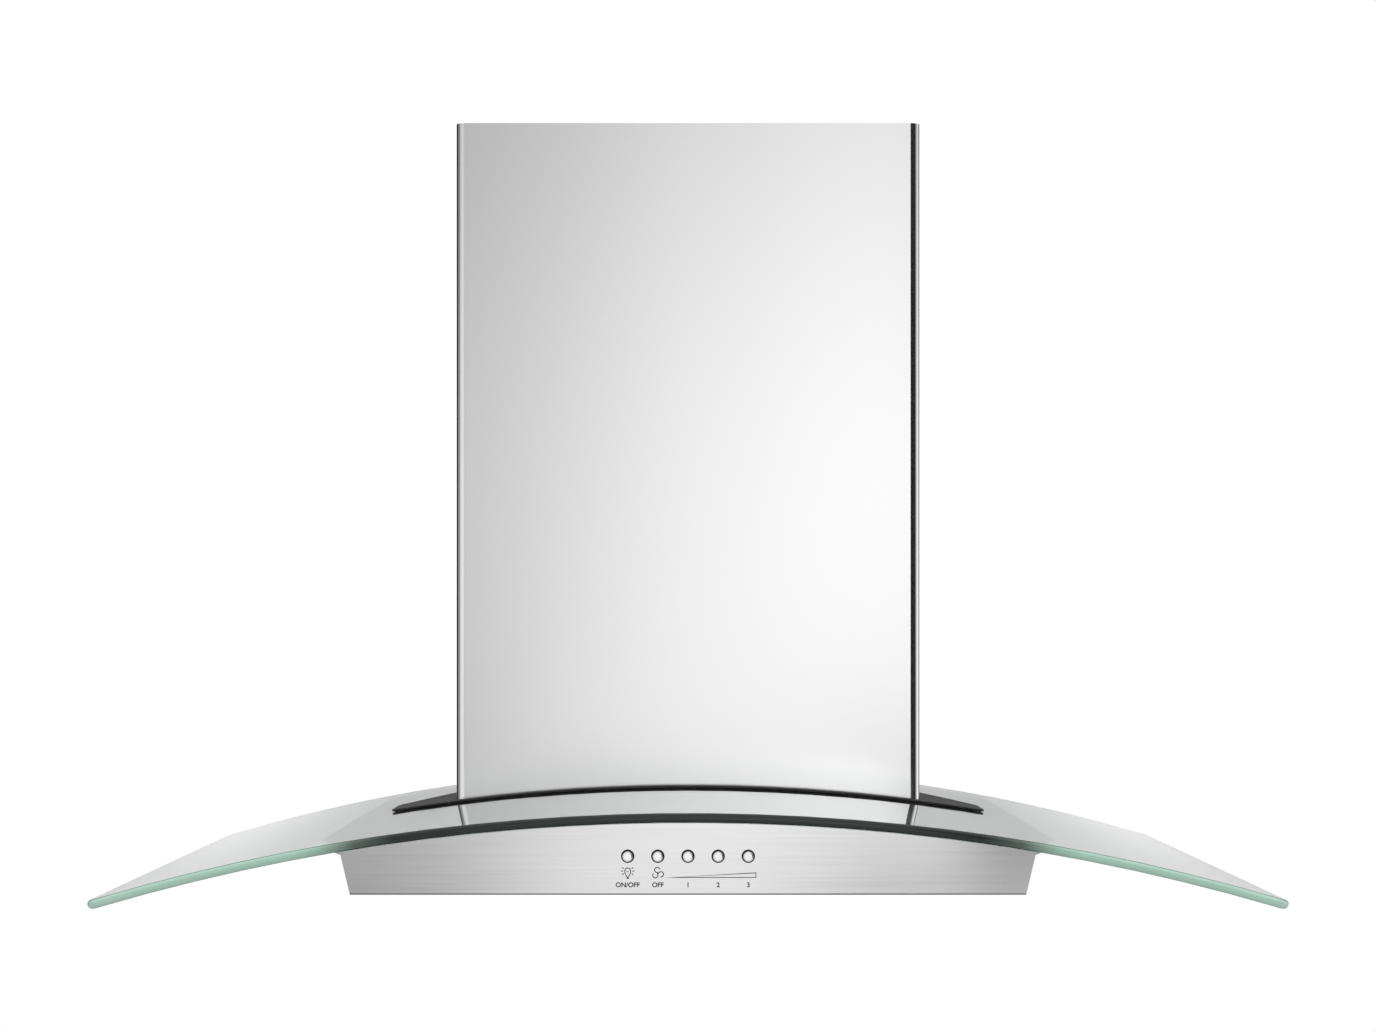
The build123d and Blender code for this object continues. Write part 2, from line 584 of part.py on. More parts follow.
with BuildPart() as glass_bushes:
    with Locations(*[arch_place(x, y, SEAT) for x, y in BOLT_SEATS]):
        Cylinder(BUSH_RADIUS, GLASS_THICKNESS - 2 * SEAT, align=(Align.CENTER, Align.CENTER, Align.MIN))
        Hole(BOLT_HOLE)
finish(glass_bushes, "glass_bushes")

with BuildPart() as glass_bolts:
    shank = FLANGE_TOP_LIFT + SEAT - TRAY_LIFT + BOLT_TAIL
    with Locations(*[arch_place(x, y, FLANGE_TOP_LIFT + SEAT) for x, y in BOLT_SEATS]):
        Cylinder(BOLT_HEAD_RADIUS, BOLT_HEAD_HEIGHT, align=(Align.CENTER, Align.CENTER, Align.MIN))
        Cylinder(BOLT_RADIUS, shank, align=(Align.CENTER, Align.CENTER, Align.MAX))
finish(glass_bolts, "glass_bolts")

with BuildPart() as glass_nuts:
    with BuildSketch(*[Plane(arch_place(x, y, TRAY_LIFT - SEAT)) for x, y in BOLT_SEATS]):
        RegularPolygon(NUT_RADIUS, side_count=6)
        Circle(BOLT_RADIUS + RUNNING, mode=Mode.SUBTRACT)
    extrude(amount=-NUT_HEIGHT)
finish(glass_nuts, "glass_nuts")

# ---------------------------------------------------------------- vent covers
with BuildPart() as lower_vent_cover:
    with BuildSketch(Plane.XY):
        cover_plan()
    extrude(amount=COVER_TOP)
    with BuildSketch(Plane.XZ.offset(-TOOL_DEPTH)):
        under_arch(FLANGE_LIFT)
    extrude(amount=2 * TOOL_DEPTH, mode=Mode.SUBTRACT)
finish(lower_vent_cover, "lower_vent_cover")

with BuildPart() as upper_vent_cover:
    with BuildSketch(Plane.XY.offset(COVER_TOP - UPPER_COVER_RECESS - UPPER_COVER_LENGTH)):
        cover_plan(COVER_SHEET + COVER_CLEARANCE)
    extrude(amount=UPPER_COVER_LENGTH)
finish(upper_vent_cover, "upper_vent_cover")

# ---------------------------------------------------------------- blower box and outlet
with BuildPart() as blower_box:
    with BuildSketch(Plane.XY):
        with Locations((0, -BOX_DEPTH / 2)):
            Rectangle(BOX_WIDTH, BOX_DEPTH)
    extrude(amount=BOX_TOP)
    with BuildSketch(Plane.XY):
        with Locations((0, -BOX_DEPTH / 2)):
            Rectangle(BOX_WIDTH - 2 * BOX_SHEET, BOX_DEPTH - 2 * BOX_SHEET)
    extrude(amount=BOX_TOP - BOX_SHEET, mode=Mode.SUBTRACT)
    with BuildSketch(Plane.XZ.offset(BOX_SHEET / 2)):
        arch_band(0, FLANGE_TOP_LIFT, asin((BOX_WIDTH - BOX_SHEET) / 2 / (ARCH_RADIUS + FLANGE_TOP_LIFT)))
    extrude(amount=BOX_DEPTH - BOX_SHEET)
    with BuildSketch(Plane.XY):
        with Locations((0, -BOX_DEPTH / 2)):
            Rectangle(BOX_WIDTH - 2 * BOX_FLANGE, BOX_DEPTH - 2 * BOX_FLANGE)
    extrude(amount=PLAN_HIGH, mode=Mode.SUBTRACT)
    with BuildSketch(Plane.XZ.offset(-TOOL_DEPTH)):
        under_arch(FLANGE_LIFT)
    extrude(amount=2 * TOOL_DEPTH, mode=Mode.SUBTRACT)
    with BuildSketch(Plane.XY.offset(BOX_TOP)):
        with Locations((0, COLLAR_Y)):
            Circle(COLLAR_BORE)
        with Locations(*OUTLET_SCREWS, *COLLAR_SCREWS):
            Circle(SCREW_HOLE)
    extrude(amount=-BOX_SHEET, mode=Mode.SUBTRACT)
    with BuildSketch(Plane.XZ):
        with Locations((-HANGING_PITCH / 2, HANGING_Z), (HANGING_PITCH / 2, HANGING_Z)):
            Circle(HANGING_HOLE)
    extrude(amount=BOX_SHEET, mode=Mode.SUBTRACT)
    with Locations(*[arch_place(x, y, FLANGE_TOP_LIFT) for x, y in BOLT_SEATS]):
        Hole(BOLT_HOLE, depth=2 * BOX_SHEET)
finish(blower_box, "blower_box")

with BuildPart() as outlet_collar:
    with BuildSketch(Plane.XY.offset(BOX_TOP)):
        with Locations((0, COLLAR_Y)):
            Circle(COLLAR_RADIUS + COLLAR_FLANGE)
        with Locations(*COLLAR_SCREWS):
            Circle(SCREW_HOLE, mode=Mode.SUBTRACT)
    extrude(amount=COLLAR_FLANGE_SHEET)
    with BuildSketch(Plane.XY.offset(BOX_TOP)):
        with Locations((0, COLLAR_Y)):
            Circle(COLLAR_RADIUS)
    extrude(amount=COLLAR_HEIGHT)
    with BuildSketch(Plane.XY.offset(BOX_TOP)):
        with Locations((0, COLLAR_Y)):
            Circle(COLLAR_BORE)
    extrude(amount=COLLAR_HEIGHT, mode=Mode.SUBTRACT)
    with BuildSketch(Plane.XY.offset(BOX_TOP + LIP_Z)):
        with Locations((0, COLLAR_Y)):
            Circle(COLLAR_RADIUS - COLLAR_WALL / 2)
            Circle(COLLAR_BORE - LIP_WIDTH, mode=Mode.SUBTRACT)
    extrude(amount=LIP_SHEET)
    with BuildSketch(Plane.YZ):
        with Locations((COLLAR_Y, ROD_Z)):
            Circle(DAMPER_ROD_RADIUS + RUNNING)
    extrude(amount=COLLAR_RADIUS, both=True, mode=Mode.SUBTRACT)
finish(outlet_collar, "outlet_collar")

with BuildPart() as damper_rod:
    with BuildSketch(Plane.YZ):
        with Locations((COLLAR_Y, ROD_Z)):
            Circle(DAMPER_ROD_RADIUS)
    extrude(amount=COLLAR_RADIUS - LOOSE, both=True)
finish(damper_rod, "damper_rod")

KNUCKLE_RADIUS = DAMPER_ROD_RADIUS + RUNNING + KNUCKLE_WALL
FLAP_EDGE = KNUCKLE_RADIUS + FLAP_CLEARANCE  # straight edge of a flap, from the rod's axis
for side, name in ((-1, "damper_flap_front"), (1, "damper_flap_rear")):
    knuckle_x = [side * KNUCKLE_STAGGER + end * KNUCKLE_PITCH / 2 for end in (-1, 1)]
    with BuildPart() as damper_flap:
        with BuildSketch(Plane.XY.offset(ROD_Z - FLAP_SHEET / 2)):
            with Locations((0, COLLAR_Y)):
                Circle(COLLAR_BORE - FLAP_CLEARANCE)
            with Locations((0, COLLAR_Y + side * (FLAP_EDGE + COLLAR_RADIUS))):
                Rectangle(2 * COLLAR_RADIUS, 2 * COLLAR_RADIUS, mode=Mode.INTERSECT)
            with Locations(*[(x, COLLAR_Y + side * FLAP_EDGE / 2) for x in knuckle_x]):
                Rectangle(KNUCKLE_LENGTH, FLAP_EDGE + FLAP_SHEET)
        extrude(amount=FLAP_SHEET)
        with BuildSketch(*[Plane.YZ.offset(x - KNUCKLE_LENGTH / 2) for x in knuckle_x]):
            with Locations((COLLAR_Y, ROD_Z)):
                Circle(KNUCKLE_RADIUS)
        extrude(amount=KNUCKLE_LENGTH)
        with BuildSketch(Plane.YZ):
            with Locations((COLLAR_Y, ROD_Z)):
                Circle(DAMPER_ROD_RADIUS + RUNNING)
        extrude(amount=COLLAR_RADIUS, both=True, mode=Mode.SUBTRACT)
    finish(damper_flap, name)

with BuildPart() as collar_screws:
    with Locations(*[(x, y, BOX_TOP + COLLAR_FLANGE_SHEET) for x, y in COLLAR_SCREWS]):
        Cylinder(SCREW_HEAD_RADIUS, SCREW_HEAD_HEIGHT, align=(Align.CENTER, Align.CENTER, Align.MIN))
        shank = COLLAR_FLANGE_SHEET + BOX_SHEET + OUTLET_FLANGE_SHEET
        Cylinder(SCREW_RADIUS, shank, align=(Align.CENTER, Align.CENTER, Align.MAX))
finish(collar_screws, "collar_screws")

# ---------------------------------------------------------------- blower
with BuildPart() as scroll_housing:
    with BuildSketch(Plane.YZ.offset(-SCROLL_WIDTH / 2)):
        scroll_outline(0, BOX_TOP - BOX_SHEET)
    extrude(amount=SCROLL_WIDTH)
    with BuildSketch(Plane.XY.offset(BOX_TOP - BOX_SHEET)):
        with Locations((0, COLLAR_Y)):
            Rectangle(OUTLET_FLANGE, OUTLET_FLANGE)
        with Locations(*OUTLET_SCREWS, *COLLAR_SCREWS):
            Circle(SCREW_HOLE, mode=Mode.SUBTRACT)
    extrude(amount=-OUTLET_FLANGE_SHEET)
    with BuildSketch(Plane.YZ.offset(-SCROLL_WIDTH / 2)):
        scroll_outline(SCROLL_WALL, BOX_TOP - BOX_SHEET - OUTLET_FLANGE_SHEET)
    extrude(amount=SCROLL_WIDTH - SCROLL_WALL, mode=Mode.SUBTRACT)
    with BuildSketch(Plane.XY.offset(BOX_TOP - BOX_SHEET)):
        with Locations((0, SCROLL_FRONT_Y + OUTLET_DEPTH / 2)):
            Rectangle(SCROLL_WIDTH - 2 * SCROLL_WALL, OUTLET_DEPTH - 2 * SCROLL_WALL)
    extrude(amount=-2 * OUTLET_FLANGE_SHEET, mode=Mode.SUBTRACT)
    with BuildSketch(Plane.YZ.offset(SCROLL_WIDTH / 2)):
        blower_circle(MOTOR_OPENING)
        with Locations((AXIS_Y, AXIS_Z)):
            with PolarLocations(MOTOR_PLATE_RADIUS - MOTOR_SCREW_EDGE, 3):
                Circle(SCREW_HOLE)
    extrude(amount=-SCROLL_WALL, mode=Mode.SUBTRACT)
finish(scroll_housing, "scroll_housing")

with BuildPart() as scroll_cover:
    with BuildSketch(Plane.YZ.offset(-SCROLL_WIDTH / 2)):
        scroll_outline(0, BOX_TOP - BOX_SHEET - OUTLET_FLANGE_SHEET - SEAT)
    extrude(amount=-SCROLL_WALL)
    with BuildSketch(Plane.YZ.offset(-SCROLL_WIDTH / 2 - SCROLL_WALL)):
        blower_circle(INLET_RADIUS + SCROLL_WALL)
    extrude(amount=SCROLL_WALL + INLET_LIP)
    with BuildSketch(Plane.YZ.offset(-SCROLL_WIDTH / 2 - SCROLL_WALL)):
        blower_circle(INLET_RADIUS)
    extrude(amount=SCROLL_WALL + INLET_LIP, mode=Mode.SUBTRACT)
finish(scroll_cover, "scroll_cover")

with BuildPart() as scroll_screws:
    with Locations(*[(x, y, BOX_TOP) for x, y in OUTLET_SCREWS]):
        Cylinder(SCREW_HEAD_RADIUS, SCREW_HEAD_HEIGHT, align=(Align.CENTER, Align.CENTER, Align.MIN))
        Cylinder(SCREW_RADIUS, BOX_SHEET + OUTLET_FLANGE_SHEET, align=(Align.CENTER, Align.CENTER, Align.MAX))
finish(scroll_screws, "scroll_screws")

with BuildPart() as fan_wheel:
    with BuildSketch(Plane.YZ.offset(-WHEEL_WIDTH / 2)):
        with Locations((AXIS_Y, AXIS_Z)):
            with PolarLocations(WHEEL_RADIUS - BLADE_DEPTH / 2, BLADE_COUNT):
                Rectangle(BLADE_DEPTH - 2 * BLADE_THICKNESS, BLADE_THICKNESS, rotation=BLADE_RAKE)
    extrude(amount=WHEEL_WIDTH)
    with BuildSketch(Plane.YZ.offset(-WHEEL_WIDTH / 2)):
        blower_circle(WHEEL_RADIUS)
        blower_circle(WHEEL_RADIUS - BLADE_DEPTH, mode=Mode.SUBTRACT)
    extrude(amount=WHEEL_SHEET)
    with BuildSketch(Plane.YZ.offset(WHEEL_WIDTH / 2)):
        blower_circle(WHEEL_RADIUS)
    extrude(amount=-WHEEL_SHEET)
    with BuildSketch(Plane.YZ.offset(WHEEL_WIDTH / 2)):
        blower_circle(HUB_RADIUS)
    extrude(amount=-HUB_LENGTH)
    with BuildSketch(Plane.YZ.offset(WHEEL_WIDTH / 2)):
        blower_circle(SHAFT_RADIUS + RUNNING)
    extrude(amount=-HUB_LENGTH, mode=Mode.SUBTRACT)
finish(fan_wheel, "fan_wheel")

with BuildPart() as motor_shaft:
    with BuildSketch(Plane.YZ.offset(WHEEL_WIDTH / 2 - HUB_LENGTH)):
        blower_circle(SHAFT_RADIUS)
    extrude(amount=MOTOR_END_X + SHAFT_OVERHANG - WHEEL_WIDTH / 2 + HUB_LENGTH)
    with BuildSketch(Plane.YZ.offset(CORE_START_X)):
        blower_circle(STATOR_BORE - ROTOR_GAP)
    extrude(amount=CORE_LENGTH)
finish(motor_shaft, "motor_shaft")

with BuildPart() as motor_housing:
    with BuildSketch(Plane.YZ.offset(MOTOR_START_X)):
        blower_circle(MOTOR_PLATE_RADIUS)
        with Locations((AXIS_Y, AXIS_Z)):
            with PolarLocations(MOTOR_PLATE_RADIUS - MOTOR_SCREW_EDGE, 3):
                Circle(SCREW_HOLE, mode=Mode.SUBTRACT)
    extrude(amount=MOTOR_WALL)
    with BuildSketch(Plane.YZ.offset(MOTOR_START_X)):
        blower_circle(MOTOR_RADIUS)
    extrude(amount=MOTOR_LENGTH)
    with BuildSketch(Plane.YZ.offset(MOTOR_START_X + MOTOR_WALL)):
        blower_circle(MOTOR_RADIUS - MOTOR_WALL)
    extrude(amount=MOTOR_LENGTH - 2 * MOTOR_WALL, mode=Mode.SUBTRACT)
    with BuildSketch(Plane.YZ.offset(MOTOR_START_X)):
        blower_circle(BEARING_RADIUS + RUNNING)
    extrude(amount=MOTOR_LENGTH, mode=Mode.SUBTRACT)
finish(motor_housing, "motor_housing")

with BuildPart() as motor_stator:
    with BuildSketch(Plane.YZ.offset(CORE_START_X)):
        blower_circle(MOTOR_RADIUS - MOTOR_WALL - SEAT)
        blower_circle(STATOR_BORE, mode=Mode.SUBTRACT)
    extrude(amount=CORE_LENGTH)
    with BuildSketch(Plane.YZ.offset(CORE_START_X - WINDING_LENGTH)):
        blower_circle(WINDING_OUTER)
        blower_circle(WINDING_INNER, mode=Mode.SUBTRACT)
    extrude(amount=CORE_LENGTH + 2 * WINDING_LENGTH)
finish(motor_stator, "motor_stator")

with BuildPart() as motor_bearings:
    bearing_planes = [
        Plane.YZ.offset(x + (MOTOR_WALL - BEARING_LENGTH) / 2)
        for x in (MOTOR_START_X, MOTOR_END_X - MOTOR_WALL)
    ]
    with BuildSketch(*bearing_planes):
        blower_circle(BEARING_RADIUS)
        blower_circle(SHAFT_RADIUS + RUNNING, mode=Mode.SUBTRACT)
    extrude(amount=BEARING_LENGTH)
finish(motor_bearings, "motor_bearings")

with BuildPart() as motor_screws:
    for start, radius, length in (
        (MOTOR_START_X + MOTOR_WALL, SCREW_HEAD_RADIUS, SCREW_HEAD_HEIGHT),
        (MOTOR_START_X - SCROLL_WALL, SCREW_RADIUS, SCROLL_WALL + MOTOR_WALL),
    ):
        with BuildSketch(Plane.YZ.offset(start)):
            with Locations((AXIS_Y, AXIS_Z)):
                with PolarLocations(MOTOR_PLATE_RADIUS - MOTOR_SCREW_EDGE, 3):
                    Circle(radius)
        extrude(amount=length)
finish(motor_screws, "motor_screws")

# ---------------------------------------------------------------- electrical fittings
CAPACITOR_X = BOX_WIDTH / 2 - BOX_SHEET - CAPACITOR_RADIUS - SEAT - CLIP_SHEET
with BuildPart() as capacitor:
    with BuildSketch(Plane.XY.offset(CAPACITOR_Z)):
        with Locations((CAPACITOR_X, CAPACITOR_Y)):
            Circle(CAPACITOR_RADIUS)
    extrude(amount=CAPACITOR_LENGTH)
    fillet(capacitor.edges().group_by(Axis.Z)[0], CLIP_SHEET)
finish(capacitor, "capacitor")

with BuildPart() as capacitor_clip:
    with BuildSketch(Plane.XY.offset(CAPACITOR_Z + (CAPACITOR_LENGTH - CLIP_HEIGHT) / 2)):
        with Locations((CAPACITOR_X, CAPACITOR_Y)):
            Circle(CAPACITOR_RADIUS + SEAT + CLIP_SHEET)
        with Locations((BOX_WIDTH / 2 - BOX_SHEET - CLIP_SHEET / 2, CAPACITOR_Y)):
            Rectangle(CLIP_SHEET, CLIP_FOOT)
        with Locations((CAPACITOR_X, CAPACITOR_Y)):
            Circle(CAPACITOR_RADIUS + SEAT, mode=Mode.SUBTRACT)
    extrude(amount=CLIP_HEIGHT)
finish(capacitor_clip, "capacitor_clip")

GLAND_Z = BOX_TOP + WIRING_HEIGHT / 2
GLAND_PLANE = Plane.XZ.offset(-(WIRING_Y + WIRING_DEPTH / 2))  # outside of the wiring box's rear wall
with BuildPart() as wiring_box:
    with BuildSketch(Plane.XY.offset(BOX_TOP)):
        with Locations((WIRING_X, WIRING_Y)):
            Rectangle(WIRING_WIDTH, WIRING_DEPTH)
    extrude(amount=WIRING_HEIGHT)
    with BuildSketch(Plane.XY.offset(BOX_TOP + WIRING_WALL)):
        with Locations((WIRING_X, WIRING_Y)):
            Rectangle(WIRING_WIDTH - 2 * WIRING_WALL, WIRING_DEPTH - 2 * WIRING_WALL)
    extrude(amount=WIRING_HEIGHT, mode=Mode.SUBTRACT)
    with BuildSketch(GLAND_PLANE):
        with Locations((WIRING_X, GLAND_Z)):
            Circle(GLAND_RADIUS + SEAT)
    extrude(amount=WIRING_WALL, mode=Mode.SUBTRACT)
finish(wiring_box, "wiring_box")

with BuildPart() as wiring_box_cover:
    with BuildSketch(Plane.XY.offset(BOX_TOP + WIRING_HEIGHT)):
        with Locations((WIRING_X, WIRING_Y)):
            Rectangle(WIRING_WIDTH, WIRING_DEPTH)
    extrude(amount=WIRING_WALL)
    plug_inset = WIRING_WALL + LOOSE
    with BuildSketch(Plane.XY.offset(BOX_TOP + WIRING_HEIGHT)):
        with Locations((WIRING_X, WIRING_Y)):
            Rectangle(WIRING_WIDTH - 2 * plug_inset, WIRING_DEPTH - 2 * plug_inset)
            Rectangle(
                WIRING_WIDTH - 2 * (plug_inset + WIRING_WALL),
                WIRING_DEPTH - 2 * (plug_inset + WIRING_WALL),
                mode=Mode.SUBTRACT,
            )
    extrude(amount=-COVER_PLUG)
    fillet(wiring_box_cover.edges().group_by(Axis.Z)[-1], WIRING_WALL / 2)
finish(wiring_box_cover, "wiring_box_cover")

with BuildPart() as terminal_block:
    with BuildSketch(Plane.XY.offset(BOX_TOP + WIRING_WALL)):
        with Locations((WIRING_X, WIRING_Y)):
            Rectangle(TERMINAL_WIDTH, TERMINAL_DEPTH)
    extrude(amount=TERMINAL_HEIGHT)
    with BuildSketch(Plane.XY.offset(BOX_TOP + WIRING_WALL + TERMINAL_HEIGHT)):
        with Locations((WIRING_X, WIRING_Y)):
            with GridLocations(TERMINAL_WIDTH / 2, TERMINAL_DEPTH / TERMINAL_WAYS, 2, TERMINAL_WAYS):
                Circle(TERMINAL_SCREW)
    extrude(amount=-TERMINAL_HEIGHT / 2, mode=Mode.SUBTRACT)
finish(terminal_block, "terminal_block")

with BuildPart() as cable_gland:
    with BuildSketch(GLAND_PLANE):
        with Locations((WIRING_X, GLAND_Z)):
            Circle(GLAND_FLANGE)
    extrude(amount=-GLAND_HEAD)
    with BuildSketch(GLAND_PLANE.offset(-GLAND_HEAD)):
        with Locations((WIRING_X, GLAND_Z)):
            Circle(GLAND_RADIUS)
    extrude(amount=GLAND_LENGTH)
    with BuildSketch(GLAND_PLANE.offset(-GLAND_HEAD)):
        with Locations((WIRING_X, GLAND_Z)):
            Circle(GLAND_BORE)
    extrude(amount=GLAND_LENGTH, mode=Mode.SUBTRACT)
finish(cable_gland, "cable_gland")

# ---------------------------------------------------------------- controls
for name, x in zip(BUTTON_NAMES, BUTTON_X):
    with BuildPart() as button:
        with BuildSketch(Plane.XZ.offset(-BUTTON_BACK_Y)):
            with Locations((x, BUTTON_Z)):
                Circle(BUTTON_RADIUS)
        extrude(amount=BUTTON_BACK_Y - PANEL_FACE_Y + BUTTON_PROUD)
        fillet(button.edges().sort_by(Axis.Y)[0], BUTTON_DOME)
        with BuildSketch(Plane.XZ.offset(-BUTTON_BACK_Y)):
            with Locations((x, BUTTON_Z)):
                Circle(BUTTON_COLLAR)
        extrude(amount=BUTTON_COLLAR_LENGTH)
        with BuildSketch(Plane.XZ.offset(-BUTTON_BACK_Y)):
            with Locations((x, BUTTON_Z)):
                Circle(STEM_RADIUS)
        extrude(amount=-(SWITCH_FRONT_Y + STEM_GRIP - BUTTON_BACK_Y))
    finish(button, f"button_{name}")

with BuildPart() as switch_block:
    with BuildSketch(Plane.XZ.offset(-SWITCH_FRONT_Y)):
        with Locations((0, BUTTON_Z)):
            Rectangle(2 * SWITCH_HALF, SWITCH_HEIGHT)
    extrude(amount=-SWITCH_DEPTH)
    with BuildSketch(Plane.XZ.offset(-SWITCH_FRONT_Y)):
        with Locations(*[(x, BUTTON_Z) for x in BUTTON_X]):
            Circle(STEM_RADIUS + RUNNING)
    extrude(amount=-(STEM_GRIP + BUTTON_TRAVEL + LOOSE), mode=Mode.SUBTRACT)
finish(switch_block, "switch_block")

with BuildPart() as switch_bracket:
    web = SWITCH_FRONT_Y + SWITCH_DEPTH
    ear = SWITCH_HALF + BRACKET_SHEET
    with BuildSketch(Plane.XY.offset(BUTTON_Z - SWITCH_HEIGHT / 2)):
        with Locations((0, web + BRACKET_SHEET / 2)):
            Rectangle(2 * ear, BRACKET_SHEET)
        for side in (-1, 1):
            with Locations((side * (ear - BRACKET_SHEET / 2), (web + PANEL_BACK_Y) / 2)):
                Rectangle(BRACKET_SHEET, web - PANEL_BACK_Y)
            with Locations((side * (ear + BRACKET_FOOT / 2), PANEL_BACK_Y + BRACKET_SHEET / 2)):
                Rectangle(BRACKET_FOOT, BRACKET_SHEET)
    extrude(amount=SWITCH_HEIGHT)
finish(switch_bracket, "switch_bracket")

# ---------------------------------------------------------------- bottom pan, filters and lamps
with BuildPart() as bottom_pan:
    with BuildSketch(Plane.XY.offset(BODY_SHEET + SEAT)):
        with Locations((0, PAN_Y)):
            Rectangle(2 * PAN_HALF, PAN_DEPTH)
            Rectangle(2 * (PAN_HALF - PAN_RIM), PAN_DEPTH - 2 * PAN_RIM, mode=Mode.SUBTRACT)
        with Locations(*PAN_SCREWS):
            Circle(SCREW_HOLE, mode=Mode.SUBTRACT)
    extrude(amount=PAN_SHEET)
    with BuildSketch(Plane.XY.offset(BODY_SHEET + SEAT)):
        with Locations((0, PAN_Y)):
            Rectangle(2 * (PAN_HALF - PAN_RIM + PAN_SHEET), PAN_DEPTH - 2 * (PAN_RIM - PAN_SHEET))
            Rectangle(2 * (PAN_HALF - PAN_RIM), PAN_DEPTH - 2 * PAN_RIM, mode=Mode.SUBTRACT)
    extrude(amount=DECK_TOP - BODY_SHEET - SEAT)
    with BuildSketch(Plane.XY.offset(PAN_RECESS)):
        with Locations((0, PAN_Y)):
            Rectangle(2 * (PAN_HALF - PAN_RIM) + PAN_SHEET, PAN_DEPTH - 2 * PAN_RIM + PAN_SHEET)
        with Locations((-BAY_X, BAY_Y), (BAY_X, BAY_Y)):
            Rectangle(FILTER_BAY_WIDTH, BAY_DEPTH, mode=Mode.SUBTRACT)
        with Locations((-LAMP_X, LAMP_Y), (LAMP_X, LAMP_Y)):
            Circle(LAMP_RADIUS + LOOSE, mode=Mode.SUBTRACT)
    extrude(amount=PAN_SHEET)
finish(bottom_pan, "bottom_pan")

with BuildPart() as pan_screws:
    with Locations(*[(x, y, BODY_SHEET + SEAT + PAN_SHEET) for x, y in PAN_SCREWS]):
        Cylinder(SCREW_HEAD_RADIUS, SCREW_HEAD_HEIGHT, align=(Align.CENTER, Align.CENTER, Align.MIN))
        Cylinder(SCREW_RADIUS, PAN_SHEET + BODY_SHEET, align=(Align.CENTER, Align.CENTER, Align.MAX))
finish(pan_screws, "pan_screws")

NECK_FRONT_Y = LATCH_TIP_Y + NECK_PLACE
TONGUE_END_Y = LATCH_TIP_Y + LATCH_TONGUE + LATCH_TRAVEL + LOOSE  # end of the tongue's pocket
for side, hand in SIDES:
    centre = side * BAY_X
    with BuildPart() as filter_frame:
        with BuildSketch(Plane.XY.offset(FILTER_Z)):
            with Locations((centre, BAY_Y)):
                RectangleRounded(FILTER_WIDTH, FILTER_DEPTH, TAB_SHEET)
            with Locations((centre, MESH_FRONT_Y + MESH_DEPTH / 2)):
                Rectangle(MESH_WIDTH - 2 * MESH_GRIP, MESH_DEPTH - 2 * MESH_GRIP, mode=Mode.SUBTRACT)
        extrude(amount=FILTER_THICKNESS)
        with BuildSketch(Plane.XY.offset(FILTER_Z + (FILTER_THICKNESS - MESH_THICKNESS) / 2)):
            with Locations((centre, MESH_FRONT_Y + MESH_DEPTH / 2)):
                Rectangle(MESH_WIDTH, MESH_DEPTH)
        extrude(amount=MESH_THICKNESS, mode=Mode.SUBTRACT)
        with BuildSketch(Plane.XY.offset(DECK_TOP + SEAT)):
            with Locations((centre, -FILTER_BAY_REAR - FILTER_CLEARANCE + (TAB_LENGTH - FILTER_RIM / 2) / 2)):
                with GridLocations(TAB_PITCH, 0, 2, 1):
                    Rectangle(TAB_WIDTH, TAB_LENGTH + FILTER_RIM / 2)
        extrude(amount=TAB_SHEET)
        with BuildSketch(Plane.XY.offset(LATCH_Z - LOOSE)):
            with Locations((centre, (LATCH_TIP_Y + TONGUE_END_Y) / 2)):
                Rectangle(LATCH_WIDTH + 2 * LOOSE, TONGUE_END_Y - LATCH_TIP_Y)
        extrude(amount=LATCH_SHEET + 2 * LOOSE, mode=Mode.SUBTRACT)
        with BuildSketch(Plane.XY.offset(FILTER_Z)):
            slot_length = NECK_LENGTH + LATCH_TRAVEL + 2 * LOOSE
            with Locations((centre, NECK_FRONT_Y - LOOSE + slot_length / 2)):
                Rectangle(NECK_WIDTH + 2 * LOOSE, slot_length)
        extrude(amount=LATCH_Z - FILTER_Z, mode=Mode.SUBTRACT)
    finish(filter_frame, f"filter_frame_{hand}")

    with BuildPart() as filter_mesh:
        with BuildSketch(Plane.XY.offset(FILTER_Z + (FILTER_THICKNESS - MESH_THICKNESS) / 2 + SEAT)):
            with Locations((centre, MESH_FRONT_Y + MESH_DEPTH / 2)):
                Rectangle(MESH_WIDTH - 2 * LOOSE, MESH_DEPTH - 2 * LOOSE)
                columns = int((MESH_WIDTH - 4 * MESH_GRIP) // MESH_PITCH)
                rows = int((MESH_DEPTH - 4 * MESH_GRIP) // MESH_PITCH)
                with GridLocations(MESH_PITCH, MESH_PITCH, columns, rows):
                    Rectangle(MESH_HOLE, MESH_HOLE, rotation=45, mode=Mode.SUBTRACT)
        extrude(amount=MESH_THICKNESS - 2 * SEAT)
    finish(filter_mesh, f"filter_mesh_{hand}")

    with BuildPart() as filter_latch:
        with BuildSketch(Plane.XY.offset(LATCH_Z)):
            with Locations((centre, LATCH_TIP_Y + LATCH_TONGUE / 2)):
                Rectangle(LATCH_WIDTH, LATCH_TONGUE)
        extrude(amount=LATCH_SHEET)
        with BuildSketch(Plane.XY.offset(LATCH_Z)):
            with Locations((centre, NECK_FRONT_Y + NECK_LENGTH / 2)):
                Rectangle(NECK_WIDTH, NECK_LENGTH)
        extrude(amount=-(LATCH_Z - FILTER_Z + LOOSE))
        with BuildSketch(Plane.XY.offset(FILTER_Z - LOOSE)):
            with Locations((centre, NECK_FRONT_Y + NECK_LENGTH / 2)):
                RectangleRounded(PULL_WIDTH, PULL_LENGTH, PULL_THICKNESS)
        extrude(amount=-PULL_THICKNESS)
    finish(filter_latch, f"filter_latch_{hand}")

